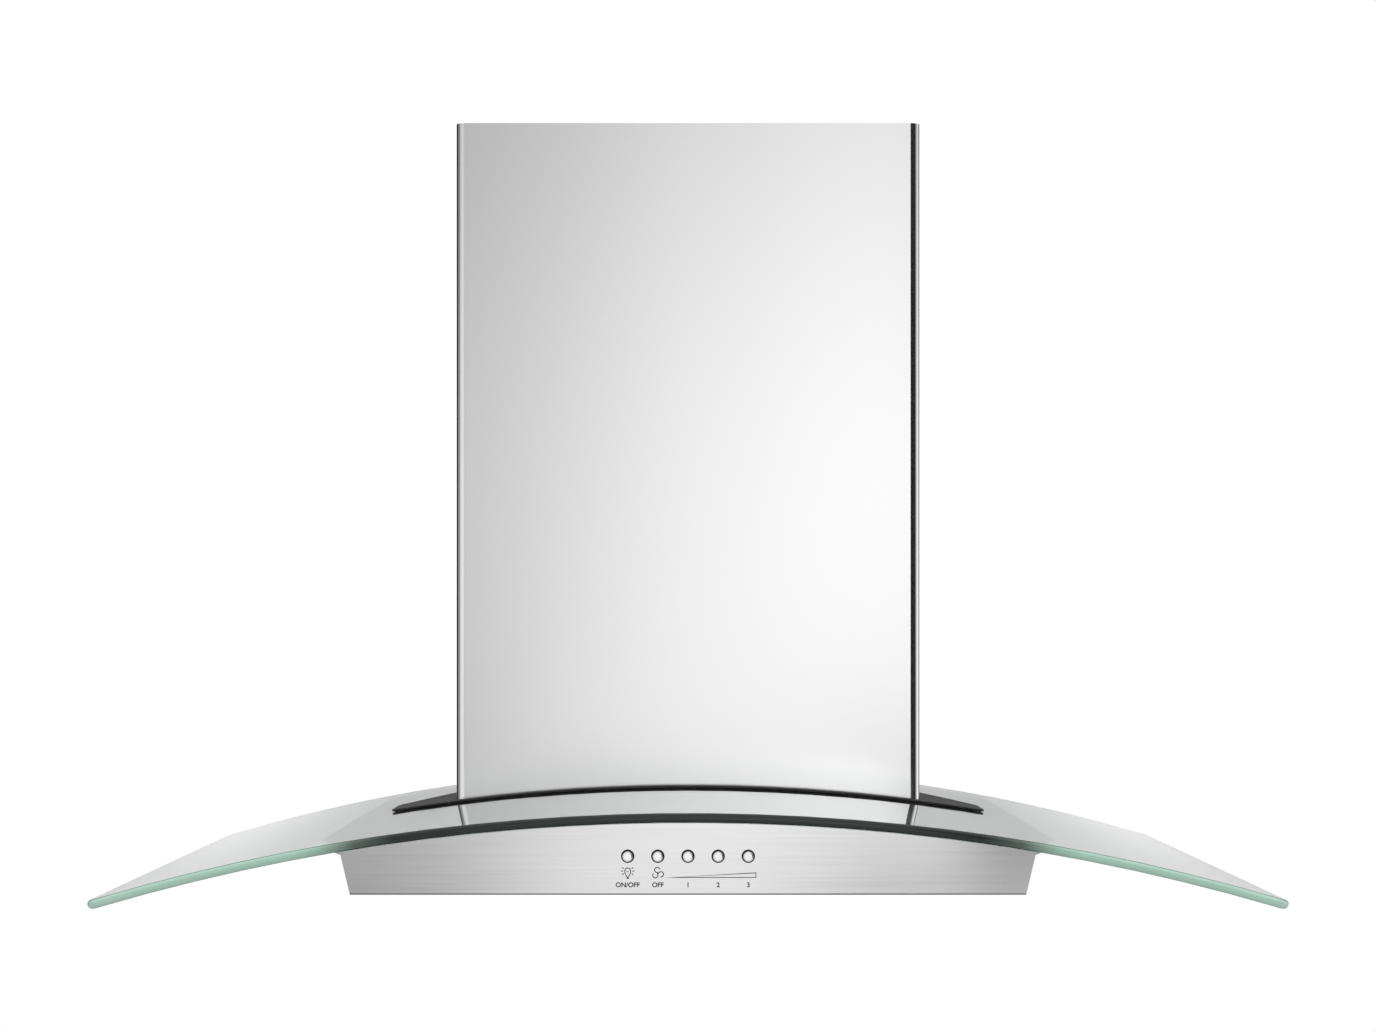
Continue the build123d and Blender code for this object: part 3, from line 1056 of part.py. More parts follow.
for side, hand in SIDES:
    centre = (side * LAMP_X, LAMP_Y)
    bezel_top = PAN_RECESS - SEAT
    with BuildPart() as lamp_housing:
        with BuildSketch(Plane.XY.offset(bezel_top - LAMP_WALL)):
            with Locations(centre):
                Circle(LAMP_RADIUS + LAMP_BEZEL)
        extrude(amount=LAMP_WALL)
        fillet(lamp_housing.edges().group_by(Axis.Z)[0], LAMP_WALL / 2)
        with BuildSketch(Plane.XY.offset(bezel_top - LAMP_WALL)):
            with Locations(centre):
                Circle(LAMP_RADIUS)
        extrude(amount=LAMP_HEIGHT + LAMP_WALL)
        with BuildSketch(Plane.XY.offset(bezel_top)):
            with Locations(centre):
                Circle(LAMP_RADIUS - LAMP_WALL)
        extrude(amount=LAMP_HEIGHT - LAMP_WALL, mode=Mode.SUBTRACT)
        with BuildSketch(Plane.XY.offset(bezel_top - LAMP_WALL)):
            with Locations(centre):
                Circle(LAMP_RADIUS - LAMP_WALL - LAMP_LIP)
        extrude(amount=LAMP_WALL, mode=Mode.SUBTRACT)
        with BuildSketch(Plane.XY.offset(bezel_top + LAMP_HEIGHT - LAMP_WALL)):
            with Locations(centre):
                Circle(SOCKET_RADIUS)
        extrude(amount=-SOCKET_HEIGHT)
    finish(lamp_housing, f"lamp_housing_{hand}")

    with BuildPart() as lamp_lens:
        with BuildSketch(Plane.XY.offset(bezel_top)):
            with Locations(centre):
                Circle(LAMP_RADIUS - LAMP_WALL - LOOSE)
        extrude(amount=LENS_THICKNESS)
    finish(lamp_lens, f"lamp_lens_{hand}")

    with BuildPart() as lamp_bulb:
        with BuildSketch(Plane.XY.offset(bezel_top + LAMP_HEIGHT - LAMP_WALL - SOCKET_HEIGHT)):
            with Locations(centre):
                Circle(BULB_RADIUS)
        extrude(amount=-BULB_LENGTH)
        fillet(lamp_bulb.edges().group_by(Axis.Z)[0], BULB_RADIUS / 2)
    finish(lamp_bulb, f"lamp_bulb_{hand}")
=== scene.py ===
# %% [markdown]
# # Dressing a curved glass range hood
# The hood's solids are already modelled and packed: a shallow steel body, a bent glass pane clamped over
# it, two nested vent covers, and inside them a blower, dampers, filters and lamps. They are a fixed
# frame that this script never moves. What is left to do here is what a finisher and a photographer
# would do: give each surface its real finish, print the symbols and words on the panel, and light it.

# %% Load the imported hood
from math import atan2, pi, radians

import bpy
import numpy as np
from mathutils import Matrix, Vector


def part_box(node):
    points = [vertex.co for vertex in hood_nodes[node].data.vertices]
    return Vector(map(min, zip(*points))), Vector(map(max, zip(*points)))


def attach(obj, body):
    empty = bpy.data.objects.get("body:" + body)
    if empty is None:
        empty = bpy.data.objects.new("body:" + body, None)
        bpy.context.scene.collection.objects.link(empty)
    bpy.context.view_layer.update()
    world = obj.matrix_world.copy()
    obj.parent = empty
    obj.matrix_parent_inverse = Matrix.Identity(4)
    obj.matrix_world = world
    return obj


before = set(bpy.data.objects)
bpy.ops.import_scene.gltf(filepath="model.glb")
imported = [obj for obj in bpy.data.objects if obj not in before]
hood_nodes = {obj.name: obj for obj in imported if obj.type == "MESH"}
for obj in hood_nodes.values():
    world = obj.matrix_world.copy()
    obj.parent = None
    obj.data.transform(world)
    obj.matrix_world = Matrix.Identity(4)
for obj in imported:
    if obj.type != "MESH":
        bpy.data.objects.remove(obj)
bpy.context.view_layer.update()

# %% [markdown]
# ## The camera
# The hood is seen straight from the front by somebody whose eyes are a little above the glass, so the
# camera stands level and centred, and the picture is shifted instead of tilted: upright edges stay
# upright. The lens is long, because the vent cover's sides show no convergence.

# %% A level camera with a long lens
CAMERA_PLACE = (0.0, -2.10, 0.1723)
CAMERA_LENS = 66.5
CAMERA_SENSOR = 36
CAMERA_SHIFT = 0.0766
PANEL_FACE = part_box("front_panel")[0].y

camera = bpy.data.objects.new("front_camera", bpy.data.cameras.new("front_camera"))
bpy.context.scene.collection.objects.link(camera)
camera.location = CAMERA_PLACE
camera.rotation_euler = (radians(90), 0, 0)
camera.data.lens = CAMERA_LENS
camera.data.sensor_width = CAMERA_SENSOR
camera.data.shift_y = CAMERA_SHIFT
bpy.context.scene.camera = camera
bpy.context.scene.view_settings.view_transform = "Standard"
print("distance to the front panel", round(PANEL_FACE - CAMERA_PLACE[1], 3), "m")

# %% [markdown]
# ## Small helpers for node materials
# A material is a tree of nodes, and most trees here need the same few steps: arithmetic on a value, a
# value eased from 0 to 1 over a range, a mix of two colours, and a ramp of many. A helper for each one
# keeps the finishes short enough to be read as a description of the surface.

# %% Helpers: nodes, sums, ranges and axes
def add_node(tree, kind, inputs=None, **settings):
    """A node of that kind, with its settings and unlinked inputs filled in."""
    node = tree.nodes.new(kind)
    for name, value in settings.items():
        setattr(node, name, value)
    for name, value in (inputs or {}).items():
        node.inputs[name].default_value = value
    return node


def calculate(tree, operation, first, second=None):
    """A Math node on sockets or plain numbers."""
    node = add_node(tree, "ShaderNodeMath", operation=operation)
    for place, value in enumerate((first, second)):
        if isinstance(value, (int, float)):
            node.inputs[place].default_value = value
        elif value is not None:
            tree.links.new(value, node.inputs[place])
    return node.outputs[0]


def ranged(tree, value, low, high):
    """0 where the value is at low, 1 where it is at high, eased between; low may be the larger."""
    node = add_node(tree, "ShaderNodeMapRange", {"From Min": low, "From Max": high},
                    interpolation_type="SMOOTHSTEP")
    tree.links.new(value, node.inputs["Value"])
    return node.outputs["Result"]


def axes(tree, vector):
    """The X, Y and Z sockets of a vector socket."""
    parts = add_node(tree, "ShaderNodeSeparateXYZ")
    tree.links.new(vector, parts.inputs["Vector"])
    return [parts.outputs[axis] for axis in "XYZ"]


def place_axes(tree):
    """X, Y and Z of a place on the solid, in metres."""
    return axes(tree, add_node(tree, "ShaderNodeTexCoord").outputs["Object"])


print("value helpers ready")

# %% Helpers: mixes and ramps of colours
def blend_colour(tree, share, none, full, blend_type="MIX"):
    """Colour that is none where the share is 0 and full where it is 1; each is a socket or a plain colour."""
    mix = add_node(tree, "ShaderNodeMix", data_type="RGBA", blend_type=blend_type)
    for name, value in (("A", none), ("B", full)):
        if isinstance(value, tuple):
            mix.inputs[name].default_value = value
        else:
            tree.links.new(value, mix.inputs[name])
    tree.links.new(share, mix.inputs["Factor"])
    return mix.outputs["Result"]


def colour_ramp(tree, value, stops):
    """Colour that follows a value through stops, each a place from 0 to 1 and the colour there."""
    ramp = add_node(tree, "ShaderNodeValToRGB")
    tree.links.new(value, ramp.inputs["Fac"])
    for number, (place, colour) in enumerate(stops):
        stop = ramp.color_ramp.elements[number] if number < 2 else ramp.color_ramp.elements.new(place)
        stop.position = place
        stop.color = (*colour, 1)
    return ramp.outputs["Color"]


print("colour helpers ready")

# %% [markdown]
# ## A finish that follows a pattern
# Every finish below is a Principled shader whose colour, roughness and bump follow one grey pattern.
# The pattern is worked out in the solid's own metres from Object coordinates, so it keeps its real size
# and doesn't stretch where the metal bends. Most patterns are soft noise: the same amount each way for
# a cast or sprayed skin, and stretched by unequal scales into the streaks of a brush.

# %% Helpers: patterns on the solid
def place_on_solid(tree, scale):
    """Object coordinates in metres, multiplied by scale along X, Y and Z: repeats per metre."""
    coordinates = add_node(tree, "ShaderNodeTexCoord")
    mapping = add_node(tree, "ShaderNodeMapping", {"Scale": scale})
    tree.links.new(coordinates.outputs["Object"], mapping.inputs["Vector"])
    return mapping.outputs["Vector"]


def noise_pattern(scale, detail=3.0, contrast=(0.3, 0.7)):
    """Pattern maker: soft noise, stretched by unequal scales into streaks."""
    def build(tree):
        noise = add_node(tree, "ShaderNodeTexNoise", {"Scale": 1.0, "Detail": detail})
        tree.links.new(place_on_solid(tree, scale), noise.inputs["Vector"])
        clipped = add_node(tree, "ShaderNodeMapRange", {"From Min": contrast[0], "From Max": contrast[1]})
        tree.links.new(noise.outputs["Fac"], clipped.inputs["Value"])
        return clipped.outputs["Result"]
    return build


print("pattern helpers ready")

# %% Helpers: a finish that follows a pattern
def spread(tree, grey, low, high):
    """The grey pattern, 0 to 1, stretched to run from low to high."""
    node = add_node(tree, "ShaderNodeMapRange", {"To Min": low, "To Max": high})
    tree.links.new(grey, node.inputs["Value"])
    return node.outputs["Result"]


def shader_of(finish):
    """The finish's Principled shader."""
    return finish.node_tree.nodes["Principled BSDF"]


def own_colour(finish):
    """The socket that feeds the finish's colour so far."""
    return shader_of(finish).inputs["Base Color"].links[0].from_socket


def make_finish(name, colour, shade, roughness, pattern, bump, **sockets):
    """Principled material: colour runs from shade times colour up to colour as the pattern goes from 0 to 1,
    roughness runs over its two values, and bump is the pattern's height in metres."""
    finish = bpy.data.materials.new(name)
    finish.use_nodes = True
    tree = finish.node_tree
    shader = shader_of(finish)
    for socket, value in sockets.items():
        shader.inputs[socket.replace("_", " ")].default_value = value
    grey = pattern(tree)
    shaded = tuple(shade * part for part in colour)
    tree.links.new(blend_colour(tree, grey, (*shaded, 1), (*colour, 1)), shader.inputs["Base Color"])
    tree.links.new(spread(tree, grey, *roughness), shader.inputs["Roughness"])
    relief = add_node(tree, "ShaderNodeBump", {"Strength": 1.0, "Distance": bump})
    tree.links.new(grey, relief.inputs["Height"])
    tree.links.new(relief.outputs["Normal"], shader.inputs["Normal"])
    finish.diffuse_color = (*colour, 1)
    return finish


print("finish helper ready")

# %% [markdown]
# ## Brushed stainless steel
# The body and the vent covers are stainless sheet with a fine horizontal brush. Thousands of scratches
# run across the hood, so a reflection stays sharp sideways and smears up and down. Noise squeezed to
# under two millimetres up and down and drawn out sideways gives the streaks, its finer octaves give the
# scratches in them, and the shader's anisotropy with an upright tangent gives the smear. The vent
# covers have a finer and fainter brush, and mirror the room more evenly. The bottom pan lies flat, so
# its brush and its tangent are turned to match. Along the bend at the rim a thin darker line is painted
# into the colour, a painted dark reflection, except on faces that look down.

# %% Brushed steel for upright sheets, the flat pan and the vent covers
BRUSH_LINES = 560  # streaks a metre, across the brush
BRUSH_LENGTH = 11  # streaks a metre, along it
RIM_BEND = (0.0006, 0.0013)  # height up to which the painted dark line along the rim is full, and at which it is gone
UNDERSIDE = (-0.95, -0.99)  # the normal's Z where a face is taken as looking down
RIM_PAINTED_SHADE = (0.20, 0.20, 0.20, 1)  # painted dark reflection along the bend at the rim
UPRIGHT, BACKWARD = (0, 0, 1), (0, 1, 0)


def brushed_steel(name, scale, tangent, shade, roughness):
    """Brushed steel whose scratches are drawn out along the axes with the smallest scale, and whose
    reflections smear along the tangent. A painted dark reflection darkens the bend at the rim,
    except on faces that look down."""
    finish = make_finish(
        name,
        colour=(0.86, 0.858, 0.858),
        shade=shade,
        roughness=roughness,
        pattern=noise_pattern(scale, detail=6.0, contrast=(0.25, 0.75)),
        bump=0.000001,
        Metallic=1.0,
        Anisotropic=1.0,
    )
    tree = finish.node_tree
    along = add_node(tree, "ShaderNodeCombineXYZ", dict(zip("XYZ", tangent)))
    tree.links.new(along.outputs["Vector"], shader_of(finish).inputs["Tangent"])
    height = place_axes(tree)[2]
    facing = axes(tree, add_node(tree, "ShaderNodeNewGeometry").outputs["Normal"])[2]
    # painted dark reflection: the colour darkens along the bend at the rim, but not on faces that look down
    clear_of_rim_shade = calculate(tree, "MAXIMUM", ranged(tree, height, *RIM_BEND), ranged(tree, facing, *UNDERSIDE))
    steel = blend_colour(tree, clear_of_rim_shade, RIM_PAINTED_SHADE, own_colour(finish))
    tree.links.new(steel, shader_of(finish).inputs["Base Color"])
    return finish


steel_upright = brushed_steel(
    "brushed_steel_upright", (BRUSH_LENGTH, BRUSH_LENGTH, BRUSH_LINES), UPRIGHT, 0.93, (0.10, 0.125))
steel_flat = brushed_steel(
    "brushed_steel_flat", (BRUSH_LENGTH, BRUSH_LINES, BRUSH_LENGTH), BACKWARD, 0.93, (0.15, 0.18))
steel_cover = brushed_steel(
    "brushed_steel_cover", (BRUSH_LENGTH, BRUSH_LENGTH, 4 * BRUSH_LINES), UPRIGHT, 0.98, (0.115, 0.12))
print("brush streaks about", round(1000 / BRUSH_LINES, 2), "mm apart")

# %% [markdown]
# ## Bent clear glass
# Float glass looks colourless through its face and green through its edge, because a little iron in it
# takes up red light along the way. The face is left clear, and a volume absorption takes some red and
# blue out of each metre that light travels inside the pane.

# %% Glass that is clear through its face
ABSORBED = (0.14, 0.60, 0.42)
ABSORPTION = 2.0

canopy_glass = make_finish(
    "bent_clear_glass",
    colour=(0.955, 0.985, 0.985),
    shade=0.985,
    roughness=(0.0, 0.012),
    pattern=noise_pattern((9, 9, 9), contrast=(0.45, 0.8)),
    bump=0.0,
    IOR=1.52,
    Transmission_Weight=1.0,
)
glass_tree = canopy_glass.node_tree
glass_shader = shader_of(canopy_glass)
absorb = add_node(glass_tree, "ShaderNodeVolumeAbsorption", {"Color": (*ABSORBED, 1), "Density": ABSORPTION})
glass_tree.links.new(absorb.outputs["Volume"], glass_tree.nodes["Material Output"].inputs["Volume"])
pane_low, pane_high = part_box("glass_canopy")
for channel, kept in zip("RGB", ABSORBED):
    left = float(np.exp(-ABSORPTION * (1 - kept) * (pane_high.y - pane_low.y)))
    print(channel, "left after the depth of the pane:", round(left, 2))

# %% [markdown]
# ## The pane's ground edge
# The edges are ground to a pencil round, and ground glass scatters: the edge shows the pale green of the
# light gathered inside. Light and shade are painted onto that green: it is painted a little lighter
# towards the tips, a painted darker border runs where the grinding ends, and over the body the edge is
# painted nearly black, as painted shade.
#
# Where the edge is, is worked out from the place on the solid. The pane is bent, so its X becomes a
# length along the arch, and the distance in from a rounded rectangle follows from that length and Y.

# %% How far in from the pane's edge a place is
ARCH_RADIUS = 1.318  # middle of the pane's thickness
ARCH_CENTRE = -1.2695  # height of the arch's centre, below the body
PANE_CORNER = 0.010  # radius of the pane's rounded corners

pane = hood_nodes["glass_canopy"]
corners = np.empty(len(pane.data.vertices) * 3)
pane.data.vertices.foreach_get("co", corners)
corners = corners.reshape(-1, 3)
half_arc = float(np.abs(np.arctan2(corners[:, 0], corners[:, 2] - ARCH_CENTRE)).max()) * ARCH_RADIUS
pane_front, pane_back = float(corners[:, 1].min()), float(corners[:, 1].max())
half_depth = (pane_back - pane_front) / 2
print("half the arch is", round(half_arc, 4), "m long, half the depth", round(half_depth, 4), "m")


def inset_from_edge(tree):
    """Distance in from the pane's outline, and the distance out from mid-width, both in metres. The first
    is the corner's radius less the length of how far the place lies beyond the corner's centre each way."""
    x, y, z = place_axes(tree)
    angle = calculate(tree, "ARCTAN2", x, calculate(tree, "SUBTRACT", z, ARCH_CENTRE))
    out = calculate(tree, "ABSOLUTE", calculate(tree, "MULTIPLY", angle, ARCH_RADIUS))
    along = calculate(tree, "ABSOLUTE", calculate(tree, "SUBTRACT", y, (pane_front + pane_back) / 2))
    beyond = [calculate(tree, "MAXIMUM", calculate(tree, "SUBTRACT", value, half - PANE_CORNER), 0.0)
              for value, half in ((out, half_arc), (along, half_depth))]
    squares = [calculate(tree, "MULTIPLY", value, value) for value in beyond]
    reach = calculate(tree, "SQRT", calculate(tree, "ADD", *squares))
    return calculate(tree, "SUBTRACT", PANE_CORNER, reach), out


# %% Green where the edge is ground, with painted shade over the body and along the border
# distance out from mid-width, and the edge's colour there, painted nearly black over the body as
# painted shade and a little lighter towards the tips
EDGE_GREENS_AND_SHADE = [
    (0.186, (0.010, 0.014, 0.013)), (0.212, (0.08, 0.11, 0.09)), (0.222, (0.18, 0.26, 0.21)),
    (0.234, (0.27, 0.42, 0.34)), (0.250, (0.345, 0.53, 0.44)), (0.376, (0.385, 0.56, 0.47)),
]
RAMP_REACH = 0.4  # distance out that the ramp's whole length stands for
GROUND = (0.0025, 0.0019)  # inset at which the grinding begins, and at which it is full
BORDER = (0.0009, 0.0013)  # inset at which the painted shade of the border begins, and at which it is full
# painted shade on the rounded edge's top and bottom, where the grinding ends
BORDER_PAINTED_SHADE = (0.42, 0.46, 0.44, 1)
GROUND_HAZE = 0.92  # share of the light that ground glass doesn't let straight through

inset, out_from_middle = inset_from_edge(glass_tree)
ground = ranged(glass_tree, inset, *GROUND)
# the ramp paints shade: nearly black over the body, pale green further out, lighter towards the tips
edge_green_and_shade = colour_ramp(glass_tree, calculate(glass_tree, "DIVIDE", out_from_middle, RAMP_REACH),
                    [(place / RAMP_REACH, colour) for place, colour in EDGE_GREENS_AND_SHADE])
# painted shade: the border where the grinding ends is darkened
edge = blend_colour(glass_tree, ranged(glass_tree, inset, *BORDER), edge_green_and_shade, BORDER_PAINTED_SHADE, "MULTIPLY")
glass_tree.links.new(blend_colour(glass_tree, ground, own_colour(canopy_glass), edge),
                     glass_shader.inputs["Base Color"])
haze = calculate(glass_tree, "MULTIPLY", ground, GROUND_HAZE)
glass_tree.links.new(calculate(glass_tree, "SUBTRACT", 1.0, haze), glass_shader.inputs["Transmission Weight"])
print("edge ground to", round(GROUND[0] * 1000, 1), "mm in,", len(EDGE_GREENS_AND_SHADE), "greens along it")

# %% [markdown]
# ## Paint, plating and bare sheet
# The clamp plate is black stove enamel and the tray under the glass grey satin paint: both have the
# slight orange peel of a sprayed coat. Hidden sheet is galvanised, and its zinc froze into crystals
# a centimetre wide, which a Voronoi pattern draws cell by cell. Screws and clips are zinc-plated, and
# the buttons and lamp bezels chromed.

# %% Painted, galvanised, plated and chromed metal
SPANGLES = (90, 90, 90)
ORANGE_PEEL = (420, 420, 420)


def spangle_pattern(tree):
    """Zinc crystals: one grey for each Voronoi cell."""
    cells = add_node(tree, "ShaderNodeTexVoronoi", {"Scale": 1.0})
    tree.links.new(place_on_solid(tree, SPANGLES), cells.inputs["Vector"])
    grey = add_node(tree, "ShaderNodeRGBToBW")
    tree.links.new(cells.outputs["Color"], grey.inputs["Color"])
    return grey.outputs["Val"]


black_enamel = make_finish("black_stove_enamel", (0.022, 0.022, 0.023), 0.8, (0.50, 0.60),
                           noise_pattern(ORANGE_PEEL), 0.00001, Specular_IOR_Level=0.3)
grey_satin = make_finish("grey_satin_paint", (0.33, 0.38, 0.37), 0.93, (0.38, 0.5),
                         noise_pattern(ORANGE_PEEL), 0.00001)
galvanised = make_finish("galvanised_sheet", (0.62, 0.64, 0.66), 0.78, (0.34, 0.5),
                         spangle_pattern, 0.000004, Metallic=1.0)
zinc_plate = make_finish("zinc_plate", (0.78, 0.79, 0.76), 0.85, (0.22, 0.34),
                         noise_pattern((700, 700, 700)), 0.000003, Metallic=1.0)
chrome = make_finish("chrome_plate", (0.93, 0.93, 0.94), 0.97, (0.03, 0.07),
                     noise_pattern((260, 260, 260)), 0.0, Metallic=1.0)
filter_metal = make_finish("filter_aluminium", (0.74, 0.75, 0.76), 0.88, (0.28, 0.42),
                           noise_pattern((1200, 18, 300)), 0.000004, Metallic=1.0)
print("zinc crystals about", round(1000 / SPANGLES[0], 1), "mm wide")

# %% [markdown]
# ## The blower's metals
# The motor's end bells are cast, so their skin is rough and sandy. The stator is a stack of half
# millimetre iron plates, which show as fine bands along the shaft, and the shaft is turned, with rings
# left by the tool. Bands are a sine of one coordinate, so a Wave texture makes both.

# %% Cast, laminated and turned metal
WAVE_BAND = 0.314  # width of a Wave texture's band at scale 1


def band_pattern(pitch):
    """Pattern maker: bands square to the X axis, one every pitch metres."""
    def build(tree):
        wave = add_node(tree, "ShaderNodeTexWave", {"Scale": 1.0, "Distortion": 0.4, "Detail": 2.0},
                        bands_direction="X")
        tree.links.new(place_on_solid(tree, (WAVE_BAND / pitch,) * 3), wave.inputs["Vector"])
        return wave.outputs["Fac"]
    return build


cast_metal = make_finish("cast_aluminium", (0.60, 0.61, 0.62), 0.8, (0.45, 0.65),
                         noise_pattern((900, 900, 900), detail=5.0), 0.00004, Metallic=1.0)
iron_stack = make_finish("laminated_iron", (0.23, 0.22, 0.21), 0.6, (0.4, 0.6),
                         band_pattern(0.0005), 0.00005, Metallic=0.9)
turned_steel = make_finish("turned_steel", (0.66, 0.66, 0.67), 0.85, (0.18, 0.3),
                           band_pattern(0.0003), 0.000006, Metallic=1.0)
print("motor metals ready")

# %% [markdown]
# ## Plastics, rubber and frosted glass
# Moulded plastic takes the fine spark-eroded texture of its mould, a fraction of a millimetre coarse.
# Rubber is duller and a little uneven. The pads on the tray are clear silicone. The lamp lenses are
# acid-etched, so they blur what is behind them; the lamps are off, as in the photograph.

# %% Moulded plastic, rubber and etched glass
MOULD_GRAIN = (2600, 2600, 2600)


def moulded(name, colour, roughness=(0.42, 0.55), **sockets):
    """Moulded plastic with a fine mould texture."""
    return make_finish(name, colour, 0.92, roughness, noise_pattern(MOULD_GRAIN), 0.00002, **sockets)


black_moulding = moulded("black_moulding", (0.025, 0.025, 0.027))
grey_moulding = moulded("grey_moulding", (0.27, 0.28, 0.29))
pale_moulding = moulded("pale_moulding", (0.78, 0.77, 0.72))
black_rubber = make_finish("black_rubber", (0.018, 0.018, 0.018), 0.75, (0.7, 0.88),
                           noise_pattern((500, 500, 500)), 0.00003)
clear_silicone = moulded("clear_silicone", (0.9, 0.92, 0.92), (0.15, 0.25), Transmission_Weight=0.7, IOR=1.41)
etched_glass = make_finish("etched_glass", (0.97, 0.97, 0.96), 0.97, (0.3, 0.4),
                           noise_pattern((1800, 1800, 1800)), 0.00001, Transmission_Weight=0.75, IOR=1.5)
print("mould grain about", round(1000 / MOULD_GRAIN[0], 2), "mm coarse")

# %% [markdown]
# ## The buttons
# Each button is a chromed cap on a black moulded stem, and the gap round the cap looks black. Both are
# one solid here, so its finish changes at the panel's face: chrome on what stands out of the panel, and
# near-black without metal behind, partly the stem's own black and partly painted shade in the gap.

# %% Chrome caps on black stems
# near-black behind the panel's face: partly the stem's own black, partly painted shade in the gap
STEM_BLACK_AND_SHADE = (0.012, 0.012, 0.013, 1)


def cap_finish():
    """Chrome in front of the panel's face, and near-black without metal behind it: partly the stem's black,
    partly painted shade in the gap round the cap.
    """
    finish = chrome.copy()
    finish.name = "chrome_cap_on_black_collar_and_shade"
    tree = finish.node_tree
    shader = shader_of(finish)
    plated = calculate(tree, "LESS_THAN", place_axes(tree)[1], PANEL_FACE)
    # painted shade in the gap: everything behind the panel's face turns near-black and loses its metal
    tree.links.new(blend_colour(tree, plated, STEM_BLACK_AND_SHADE, own_colour(finish)), shader.inputs["Base Color"])
    tree.links.new(plated, shader.inputs["Metallic"])
    shader.inputs["Specular IOR Level"].default_value = 0.2
    return finish


button_finish = cap_finish()
print("caps are chromed in front of Y =", round(PANEL_FACE, 4), "m")

# %% [markdown]
# ## Putting the finishes on
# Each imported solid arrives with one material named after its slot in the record, so a table from slot to
# finish dresses all of them. Three kinds of piece get a finish of their own instead: the bottom pan,
# whose brush lies flat, the two vent covers with their finer brush, and the buttons.

# %% Dress every solid by its slot
FINISHES = {
    "canopy_glass": canopy_glass,
    "stainless_steel": steel_upright,
    "grey_painted_steel": grey_satin,
    "black_painted_steel": black_enamel,
    "galvanised_steel": galvanised,
    "zinc_fastener": zinc_plate,
    "machined_steel": turned_steel,
    "cast_aluminium": cast_metal,
    "motor_iron": iron_stack,
    "filter_aluminium": filter_metal,
    "chromed_metal": chrome,
    "lamp_glass": etched_glass,
    "black_plastic": black_moulding,
    "grey_plastic": grey_moulding,
    "pale_plastic": pale_moulding,
    "black_rubber": black_rubber,
    "clear_rubber": clear_silicone,
}
BUTTONS = ["button_light", "button_fan_off", "button_fan_low", "button_fan_medium", "button_fan_high"]
OWN_FINISHES = {
    "bottom_pan": steel_flat,
    "lower_vent_cover": steel_cover,
    "upper_vent_cover": steel_cover,
    **{name: button_finish for name in BUTTONS},
}
for name, solid in hood_nodes.items():
    slot_name = solid.material_slots[0].material.name
    solid.material_slots[0].material = OWN_FINISHES.get(name, FINISHES[slot_name])
print(len(hood_nodes), "nodes dressed,", len(OWN_FINISHES), "of them with a finish of their own")

# %% [markdown]
# ## The printed symbols
# Dark screen printing under the buttons says what they do: a bulb with rays, a three-bladed fan, a wedge
# that widens from low to high, and plain words and numbers. A print is only a few hundredths of a
# millimetre of ink, so each symbol is a flat outline given that little thickness. Most of them are
# strokes: a line of points with half the pen's width added on either side.

# %% Helpers: strokes and closed bands
PEN = 0.00058  # width of a printed line


def band(inner, outer, closed):
    """Strip between two lines of equally many points: a quad between each two neighbours."""
    count = len(inner)
    here = np.arange(count if closed else count - 1)
    after = (here + 1) % count
    return np.vstack([inner, outer]), np.stack([here, after, after + count, here + count], axis=1)


def stroke(line, closed=False, pen=PEN):
    """Strip of the pen's width along a line: each point is moved square to the chord of its neighbours."""
    if closed:
        chord = np.roll(line, -1, axis=0) - np.roll(line, 1, axis=0)
    else:
        chord = np.gradient(line, axis=0)
    square = np.column_stack([-chord[:, 1], chord[:, 0]])
    side = square / np.linalg.norm(chord, axis=1, keepdims=True) * pen / 2
    return band(line - side, line + side, closed)


print("pen", round(PEN * 1000, 2), "mm wide")

# %% Helpers: flat shapes raised to ink on the panel
INK = 0.00003  # how far it stands out of the panel's face, and how far it reaches behind it
printing_ink = moulded("printing_ink", (0.012, 0.012, 0.014), (0.6, 0.75), Specular_IOR_Level=0.2)


def raise_ink(shapes):
    """Flat X, Z shapes become ink on the panel: a sheet in front, one behind, and walls round open edges."""
    points, faces, offset = [], [], 0
    for shape_points, shape_faces in shapes:
        points.append(shape_points)
        faces.extend(tuple(int(i) + offset for i in face) for face in shape_faces)
        offset += len(shape_points)
    flat = np.vstack(points)
    front = np.column_stack([flat[:, 0], np.full(offset, PANEL_FACE - INK), flat[:, 1]])
    back = np.column_stack([flat[:, 0], np.full(offset, PANEL_FACE + INK), flat[:, 1]])
    edges = {(a, b) for face in faces for a, b in zip(face, face[1:] + face[:1])}
    walls = [(b, a, a + offset, b + offset) for a, b in edges if (b, a) not in edges]
    return np.vstack([front, back]), faces + [tuple(i + offset for i in face[::-1]) for face in faces] + walls


def mesh_piece(name, points, faces, finish, body, slot_name):
    """An object at the origin from an array of points and a list of faces, riding on a body."""
    mesh = bpy.data.meshes.new(name)
    mesh.from_pydata(points, [], faces)
    mesh.validate()
    mesh.update()
    piece = bpy.data.objects.new(name, mesh)
    bpy.context.scene.collection.objects.link(piece)
    piece.data.materials.append(finish)
    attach(piece, body)
    return piece


def print_symbol(name, shapes):
    """Prints flat shapes on the front panel."""
    return mesh_piece(name, *raise_ink(shapes), printing_ink, "hood", "black_plastic")


print("ink", round(INK * 1000, 3), "mm proud of the panel")

# %% [markdown]
# ## Bulb, fan and wedge
# The five buttons stand in a row, and everything printed is placed from their centres, so the print
# can't drift away from the button it belongs to. The bulb is a drop with a filament, a cap and six
# rays. Each fan blade is nearly three quarters of a circle that starts at the hub.

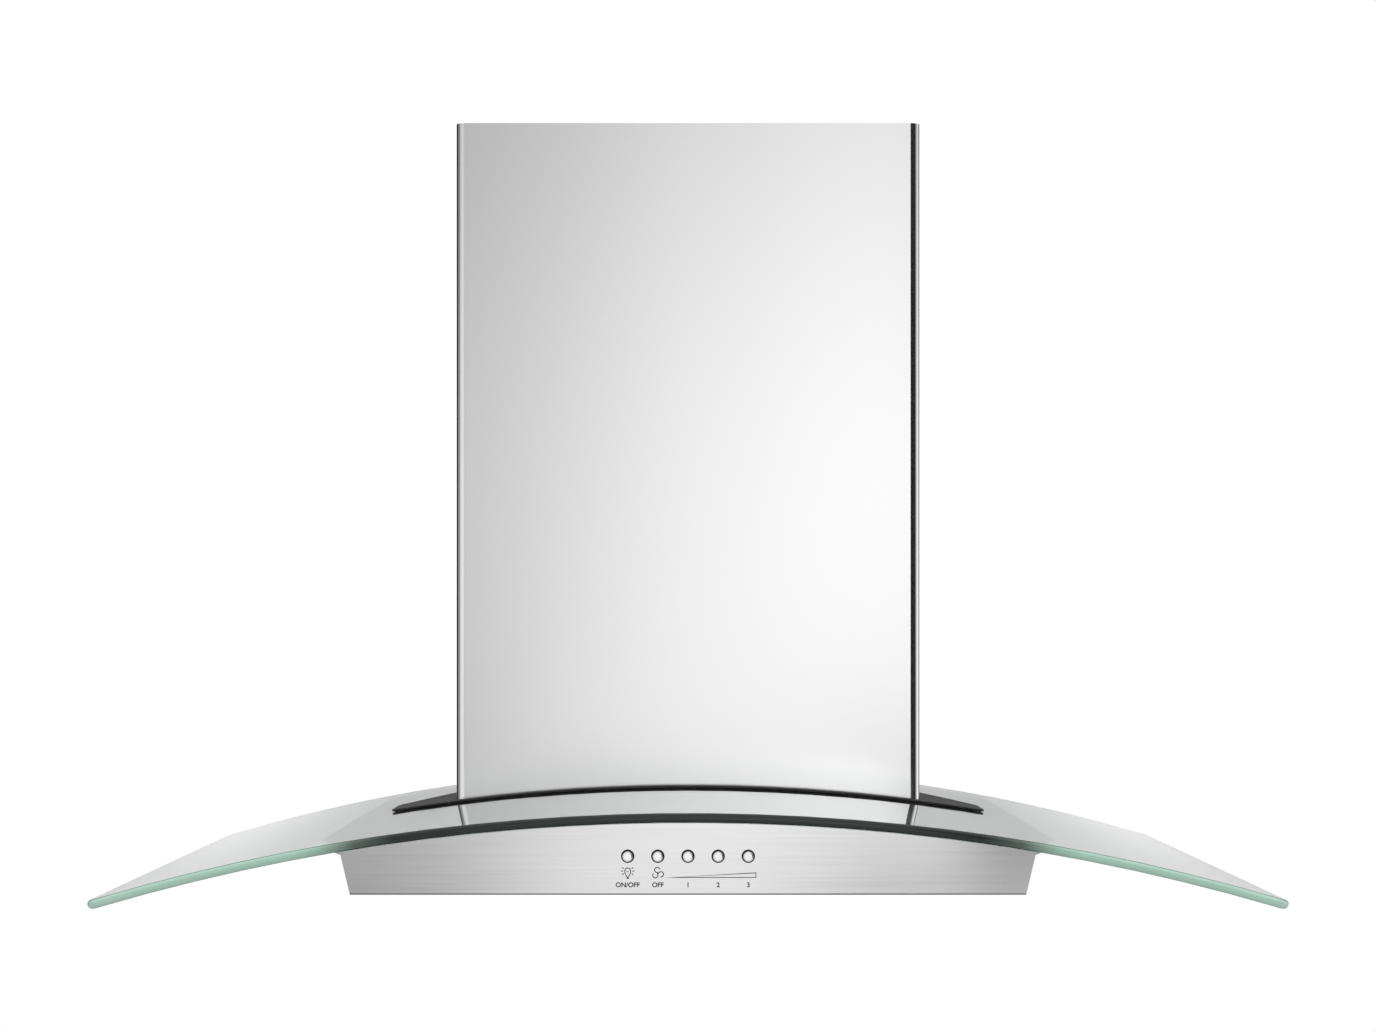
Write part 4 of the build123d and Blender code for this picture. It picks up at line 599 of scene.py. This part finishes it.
# %% The bulb, under the first button
button_boxes = [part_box(name) for name in BUTTONS]
button_x = [(low.x + high.x) / 2 for low, high in button_boxes]
button_z = (button_boxes[0][0].z + button_boxes[0][1].z) / 2
SYMBOL_DROP = 0.0103  # from the buttons' centres to the middle of the symbols
symbol_z = button_z - SYMBOL_DROP
MM = 0.001

BULB_WIDTH = 0.0023  # half the drop's, before it is narrowed
BULB_HEIGHT = 0.0031  # half the drop's
BULB_TAPER = 0.9  # how strongly the drop narrows towards the cap
BULB_SINKS = 0.0002  # below the middle of the symbols
FILAMENT_PEN = 0.0003
RAY_TURNS = np.radians([-32, 0, 32, 148, 180, 212])
RAY_FROM_TO = [0.0029, 0.0042]  # from the point where the rays would meet
RAYS_RISE = 0.0009  # of that point


def drop_line(count=48):
    """Drop: its height is a cosine of the way round, its width the sine, narrowed towards the cap."""
    way = np.linspace(0, 2 * pi, count, endpoint=False)
    narrowed = BULB_WIDTH * np.sin(way) * np.abs(np.cos(way / 2)) ** BULB_TAPER
    return np.column_stack([narrowed, BULB_HEIGHT * np.cos(way)])


bulb = np.array([button_x[0], symbol_z])
filament = MM * np.array([(-0.7, 0.2), (-0.3, 1.2), (0, 0.3), (0.3, 1.2), (0.7, 0.2)])
cap = MM * np.array([(-0.75, -3.7), (0.75, -3.7)])
lamp_shapes = [
    stroke(bulb + drop_line() - (0, BULB_SINKS), closed=True),
    stroke(bulb + filament, pen=FILAMENT_PEN),
    stroke(bulb + cap),
]
for turn in RAY_TURNS:
    ray = np.array([np.cos(turn), np.sin(turn)])
    lamp_shapes.append(stroke(bulb + (0, RAYS_RISE) + np.outer(RAY_FROM_TO, ray)))
print_symbol("print_lamp", lamp_shapes)
print("bulb printed", round(SYMBOL_DROP * 1000, 1), "mm below its button's centre")

# %% The fan, under the second button, and the wedge beside it
BLADE_TURNS = np.radians([100, 220, 340])
BLADE_CURL = np.linspace(radians(180), radians(-85), 32)
BLADE_LOOP = 0.00165  # radius
BLADE_REACH = 1.25 * BLADE_LOOP  # from the hub to the middle of the loop
FAN_SINKS = 0.0004  # below the middle of the symbols

fan_hub = np.array([button_x[1], symbol_z - FAN_SINKS])
fan_shapes = []
for turn in BLADE_TURNS:
    heading = np.array([[np.cos(turn), np.sin(turn)], [-np.sin(turn), np.cos(turn)]])
    loop = np.column_stack([BLADE_REACH + BLADE_LOOP * np.cos(BLADE_CURL), BLADE_LOOP * np.sin(BLADE_CURL)])
    fan_shapes.append(stroke(fan_hub + np.vstack([[(0, 0)], loop]) @ heading))
print_symbol("print_fan", fan_shapes)

WEDGE_STARTS = 0.0043  # right of the second button's centre
WEDGE_ENDS = 0.0050  # right of the last button's centre
WEDGE_SINKS, WEDGE_RISES = 0.0033, 0.0001  # below and above the symbols' middle
WEDGE_WALLS = MM * np.array([(10.0, 0.46), (-0.48, 0.46), (-0.48, -0.58)])  # from its corners to its hollow's

wedge_left, wedge_right = button_x[1] + WEDGE_STARTS, button_x[4] + WEDGE_ENDS
wedge_low, wedge_high = symbol_z - WEDGE_SINKS, symbol_z + WEDGE_RISES
wedge = np.array([(wedge_left, wedge_low), (wedge_right, wedge_low), (wedge_right, wedge_high)])
print_symbol("print_wedge", [band(wedge + WEDGE_WALLS, wedge, closed=True)])
print("wedge", round((wedge_right - wedge_left) * 1000, 1), "mm long")

# %% [markdown]
# ## Words and numbers
# Plain words and numbers say what a button sets. Blender's own lettering is a curve; it is turned into
# a mesh before it is put in place, so the finished piece sits at the origin like every other.

# %% Lettering under the buttons
WORD_DROP = 0.0182
WORD_HEIGHT = 0.0030
FONT_SIZE = WORD_HEIGHT * 1.4  # a capital is about 0.7 of the font's size
WORD_WEIGHT = 0.00011  # added all round a letter's outline


def print_word(name, text, x, z):
    """Lettering as a mesh on the panel: the letters' X and Y become the panel's X and Z."""
    letters = bpy.data.curves.new(name, "FONT")
    letters.body = text
    letters.size = FONT_SIZE
    letters.offset = WORD_WEIGHT
    letters.align_x = "CENTER"
    letters.align_y = "CENTER"
    shaped = bpy.data.objects.new(name, letters)
    bpy.context.scene.collection.objects.link(shaped)
    bpy.context.view_layer.update()
    flat = bpy.data.meshes.new_from_object(shaped.evaluated_get(bpy.context.evaluated_depsgraph_get()))
    bpy.data.objects.remove(shaped)
    points = np.empty(len(flat.vertices) * 3)
    flat.vertices.foreach_get("co", points)
    placed = points.reshape(-1, 3)[:, :2] + (x, z)
    return print_symbol(name, [(placed, [tuple(face.vertices) for face in flat.polygons])])


WORDS = [("light", "ON/OFF"), ("off", "OFF"), ("low", "1"), ("medium", "2"), ("high", "3")]
for (name, text), x in zip(WORDS, button_x):
    print_word(f"print_word_{name}", text, x, button_z - WORD_DROP)
print(len(WORDS), "words", round(WORD_HEIGHT * 1000, 1), "mm tall")

# %% [markdown]
# ## The floor
# The hood hangs high over a white floor that keeps its shadow. Most of what the camera sees of the
# floor is a plain white glow, so that it runs into the white background; the glow lights nothing.
# Reflections, and light that comes through the glass, pass the floor by and show what is painted next.

# %% A round floor
FLOOR_DROP = 1.8
FLOOR_REACH = 3.6
FLOOR_CORNERS = 96

turns = np.linspace(0, 2 * pi, FLOOR_CORNERS, endpoint=False)
floor_points = np.column_stack(
    [FLOOR_REACH * np.cos(turns), FLOOR_REACH * np.sin(turns), np.full(FLOOR_CORNERS, -FLOOR_DROP)])
floor_mesh = bpy.data.meshes.new("floor")
floor_mesh.from_pydata(floor_points, [], [tuple(range(FLOOR_CORNERS))])
floor = bpy.data.objects.new("floor", floor_mesh)
bpy.context.scene.collection.objects.link(floor)
print("floor", FLOOR_DROP, "m below the body's rim")

# %% The floor's white finish
FLOOR_GLOW = 0.8


def mix_shaders(tree, share, first, second):
    """The first shader where the share is 0, and the second where it is 1."""
    mix = add_node(tree, "ShaderNodeMixShader")
    tree.links.new(share, mix.inputs["Fac"])
    tree.links.new(first, mix.inputs[1])
    tree.links.new(second, mix.inputs[2])
    return mix.outputs["Shader"]


floor_finish = bpy.data.materials.new("white_floor")
floor_finish.use_nodes = True
floor_tree = floor_finish.node_tree
floor_shader = shader_of(floor_finish)
floor_shader.inputs["Base Color"].default_value = (0.95, 0.95, 0.95, 1)
floor_shader.inputs["Roughness"].default_value = 1.0
floor_shader.inputs["Specular IOR Level"].default_value = 0.0
glow = add_node(floor_tree, "ShaderNodeEmission", {"Color": (1, 1, 1, 1), "Strength": 1.0})
clear = add_node(floor_tree, "ShaderNodeBsdfTransparent")
floor_rays = add_node(floor_tree, "ShaderNodeLightPath").outputs
seen = mix_shaders(floor_tree, calculate(floor_tree, "MULTIPLY", floor_rays["Is Camera Ray"], FLOOR_GLOW),
                   floor_shader.outputs["BSDF"], glow.outputs["Emission"])
passing = calculate(floor_tree, "MAXIMUM", floor_rays["Is Glossy Ray"], floor_rays["Is Transmission Ray"])
floor_tree.links.new(mix_shaders(floor_tree, passing, seen, clear.outputs["BSDF"]),
                     floor_tree.nodes["Material Output"].inputs["Surface"])
floor.data.materials.append(floor_finish)
print("floor lifted by a glow of", FLOOR_GLOW)

# %% [markdown]
# ## The surroundings
# Polished metal shows its surroundings and little else, so what it reflects is painted on the world by
# direction, as a photographer would build it: a bright tent in front, a little darker on the left, and
# black flags at the sides that draw the thin dark lines down the bends of the vent cover. One row of
# bands is painted above the horizon, which the vent cover reflects, and one below it, which the front
# panel reflects. Further up and down the bands give way to plain levels, so that the top and the
# underside look like steel from any side, and a bright backdrop lies straight behind, below the horizon.
#
# Only reflections see the tent. The camera, and light that comes through the glass, see plain white,
# and matt surfaces are lit by an even grey and three soft lamps.

# %% Bands round the horizon
# azimuth in degrees from straight in front, to the viewer's right, and the brightness there
ABOVE_HORIZON = [
    (-180, 0.66), (-172, 0.55), (-160, 0.85), (-155, 0.01), (-112, 0.01), (-107, 0.30), (-98, 0.34),
    (-90, 0.34), (-78, 0.30), (-70, 0.80), (-44, 0.98), (-22, 0.85), (-12, 0.64), (-7.8, 0.60), (-5, 0.74),
    (-2.9, 0.88), (0, 1.10), (2, 1.20), (3.4, 1.29), (6.4, 1.32), (7.0, 0.01), (58, 0.01), (66, 0.10),
    (76, 0.40), (98, 1.05), (116, 1.05), (132, 0.15), (140, 0.01), (155, 0.01), (160, 0.85), (172, 0.55),
    (179, 0.66),
]
BELOW_HORIZON = [
    (-180, 0.80), (-160, 0.80), (-155, 0.01), (-112, 0.01), (-107, 0.30), (-98, 0.34), (-90, 0.34),
    (-78, 0.30), (-70, 0.80), (-44, 0.80), (-18, 0.45), (-7.8, 0.20), (-7, 0.29), (-5, 0.45), (-4.2, 0.63),
    (-2.9, 0.84), (-2, 0.92), (0, 0.84), (2, 0.74), (3.7, 0.30), (5.9, 0.18), (7, 0.80), (9, 1.00),
    (9.4, 0.01), (66, 0.01), (76, 0.40), (98, 1.05), (116, 1.05), (132, 0.15), (155, 0.15), (160, 0.80),
    (179, 0.80),
]

studio = bpy.data.worlds.new("studio")
bpy.context.scene.world = studio
studio.use_nodes = True
sky = studio.node_tree
sideways, backward, height = axes(sky, add_node(sky, "ShaderNodeTexCoord").outputs["Generated"])
forward = calculate(sky, "MULTIPLY", backward, -1.0)
azimuth = calculate(sky, "ARCTAN2", sideways, forward)
turned = calculate(sky, "ADD", calculate(sky, "DIVIDE", azimuth, 2 * pi), 0.5)


def painted_bands(stops):
    """Brightness by azimuth, on a colour ramp from straight behind round to straight behind."""
    return colour_ramp(sky, turned, [(degrees / 360 + 0.5, (bright,) * 3) for degrees, bright in stops])


print(len(ABOVE_HORIZON), "and", len(BELOW_HORIZON), "stops round the horizon")

# %% Plain levels above and below, and who sees what
# heights are the Z of a direction, from -1 straight down to 1 straight up, and BACKDROP_FORWARD is its
# share towards the viewer; each change begins at the first of its two numbers and is full at the second
CHANGE_OVER = (-0.065, -0.115)
FADED, FADE_HEIGHTS = 0.44, (0.04, 0.30)
LOW_LEVEL, LOW_HEIGHTS = 0.62, (-0.22, -0.34)
BACKDROP_LEVEL, BACKDROP_FORWARD, BACKDROP_HEIGHTS = 0.92, (-0.97, -0.985), (0.03, -0.03)
HIGH_LEVEL, HIGH_HEIGHTS = 0.66, (0.34, 0.46)
TOP_LEVEL, TOP_HEIGHTS = 0.95, (0.75, 0.93)
PLAIN_LIGHT = 0.72


def paint_over(under, over, share):
    """One brightness over another, by a share from 0 to 1; each is a socket or a plain number."""
    return blend_colour(sky, share, *[(v, v, v, 1) if isinstance(v, float) else v for v in (under, over)])


change_over = ranged(sky, height, *CHANGE_OVER)
tent = paint_over(painted_bands(ABOVE_HORIZON), painted_bands(BELOW_HORIZON), change_over)
fading = calculate(sky, "MULTIPLY", ranged(sky, height, *FADE_HEIGHTS), FADED)
tent = calculate(sky, "MULTIPLY", tent, calculate(sky, "SUBTRACT", 1.0, fading))
backdrop = calculate(sky, "MULTIPLY", ranged(sky, forward, *BACKDROP_FORWARD),
                     ranged(sky, height, *BACKDROP_HEIGHTS))
tent = paint_over(tent, LOW_LEVEL, ranged(sky, height, *LOW_HEIGHTS))
tent = paint_over(tent, BACKDROP_LEVEL, backdrop)
tent = paint_over(tent, HIGH_LEVEL, ranged(sky, height, *HIGH_HEIGHTS))
tent = paint_over(tent, TOP_LEVEL, ranged(sky, height, *TOP_HEIGHTS))
sky_rays = add_node(sky, "ShaderNodeLightPath").outputs
shown = paint_over(PLAIN_LIGHT, tent, sky_rays["Is Glossy Ray"])
sees_white = calculate(sky, "MAXIMUM", sky_rays["Is Camera Ray"], sky_rays["Is Transmission Ray"])
sky.links.new(paint_over(shown, 1.0, sees_white), sky.nodes["Background"].inputs["Color"])
sky.nodes["Background"].inputs["Strength"].default_value = 1.0
print("matt surfaces see a plain", PLAIN_LIGHT)

# %% [markdown]
# ## Soft lamps
# One lamp hangs overhead and one stands at each side, all aimed just above the middle of the glass.
# They are large, so shadows are soft, and hidden from reflections, because polished metal already has
# its tent.

# %% Three soft lamps
LAMP_AIM = np.array([0, -0.25, 0.1])


def softbox(name, place, size, watts):
    """Square area lamp at place, turned to look at the hood."""
    lamp = bpy.data.lights.new(name, "AREA")
    lamp.size = size
    lamp.energy = watts
    box = bpy.data.objects.new(name, lamp)
    bpy.context.scene.collection.objects.link(box)
    box.location = place
    heading = LAMP_AIM - place
    yaw = atan2(heading[1], heading[0]) - pi / 2
    pitch = atan2(heading[2], np.hypot(heading[0], heading[1])) + pi / 2
    box.rotation_euler = (pitch, 0, yaw)
    box.visible_glossy = False
    return box


softbox("top_softbox", place=(0, -0.9, 2.0), size=1.6, watts=26)
softbox("left_softbox", place=(-2.2, -1.6, 1.0), size=1.2, watts=12)
softbox("right_softbox", place=(2.2, -1.6, 1.0), size=1.2, watts=16)
print("three soft lamps")
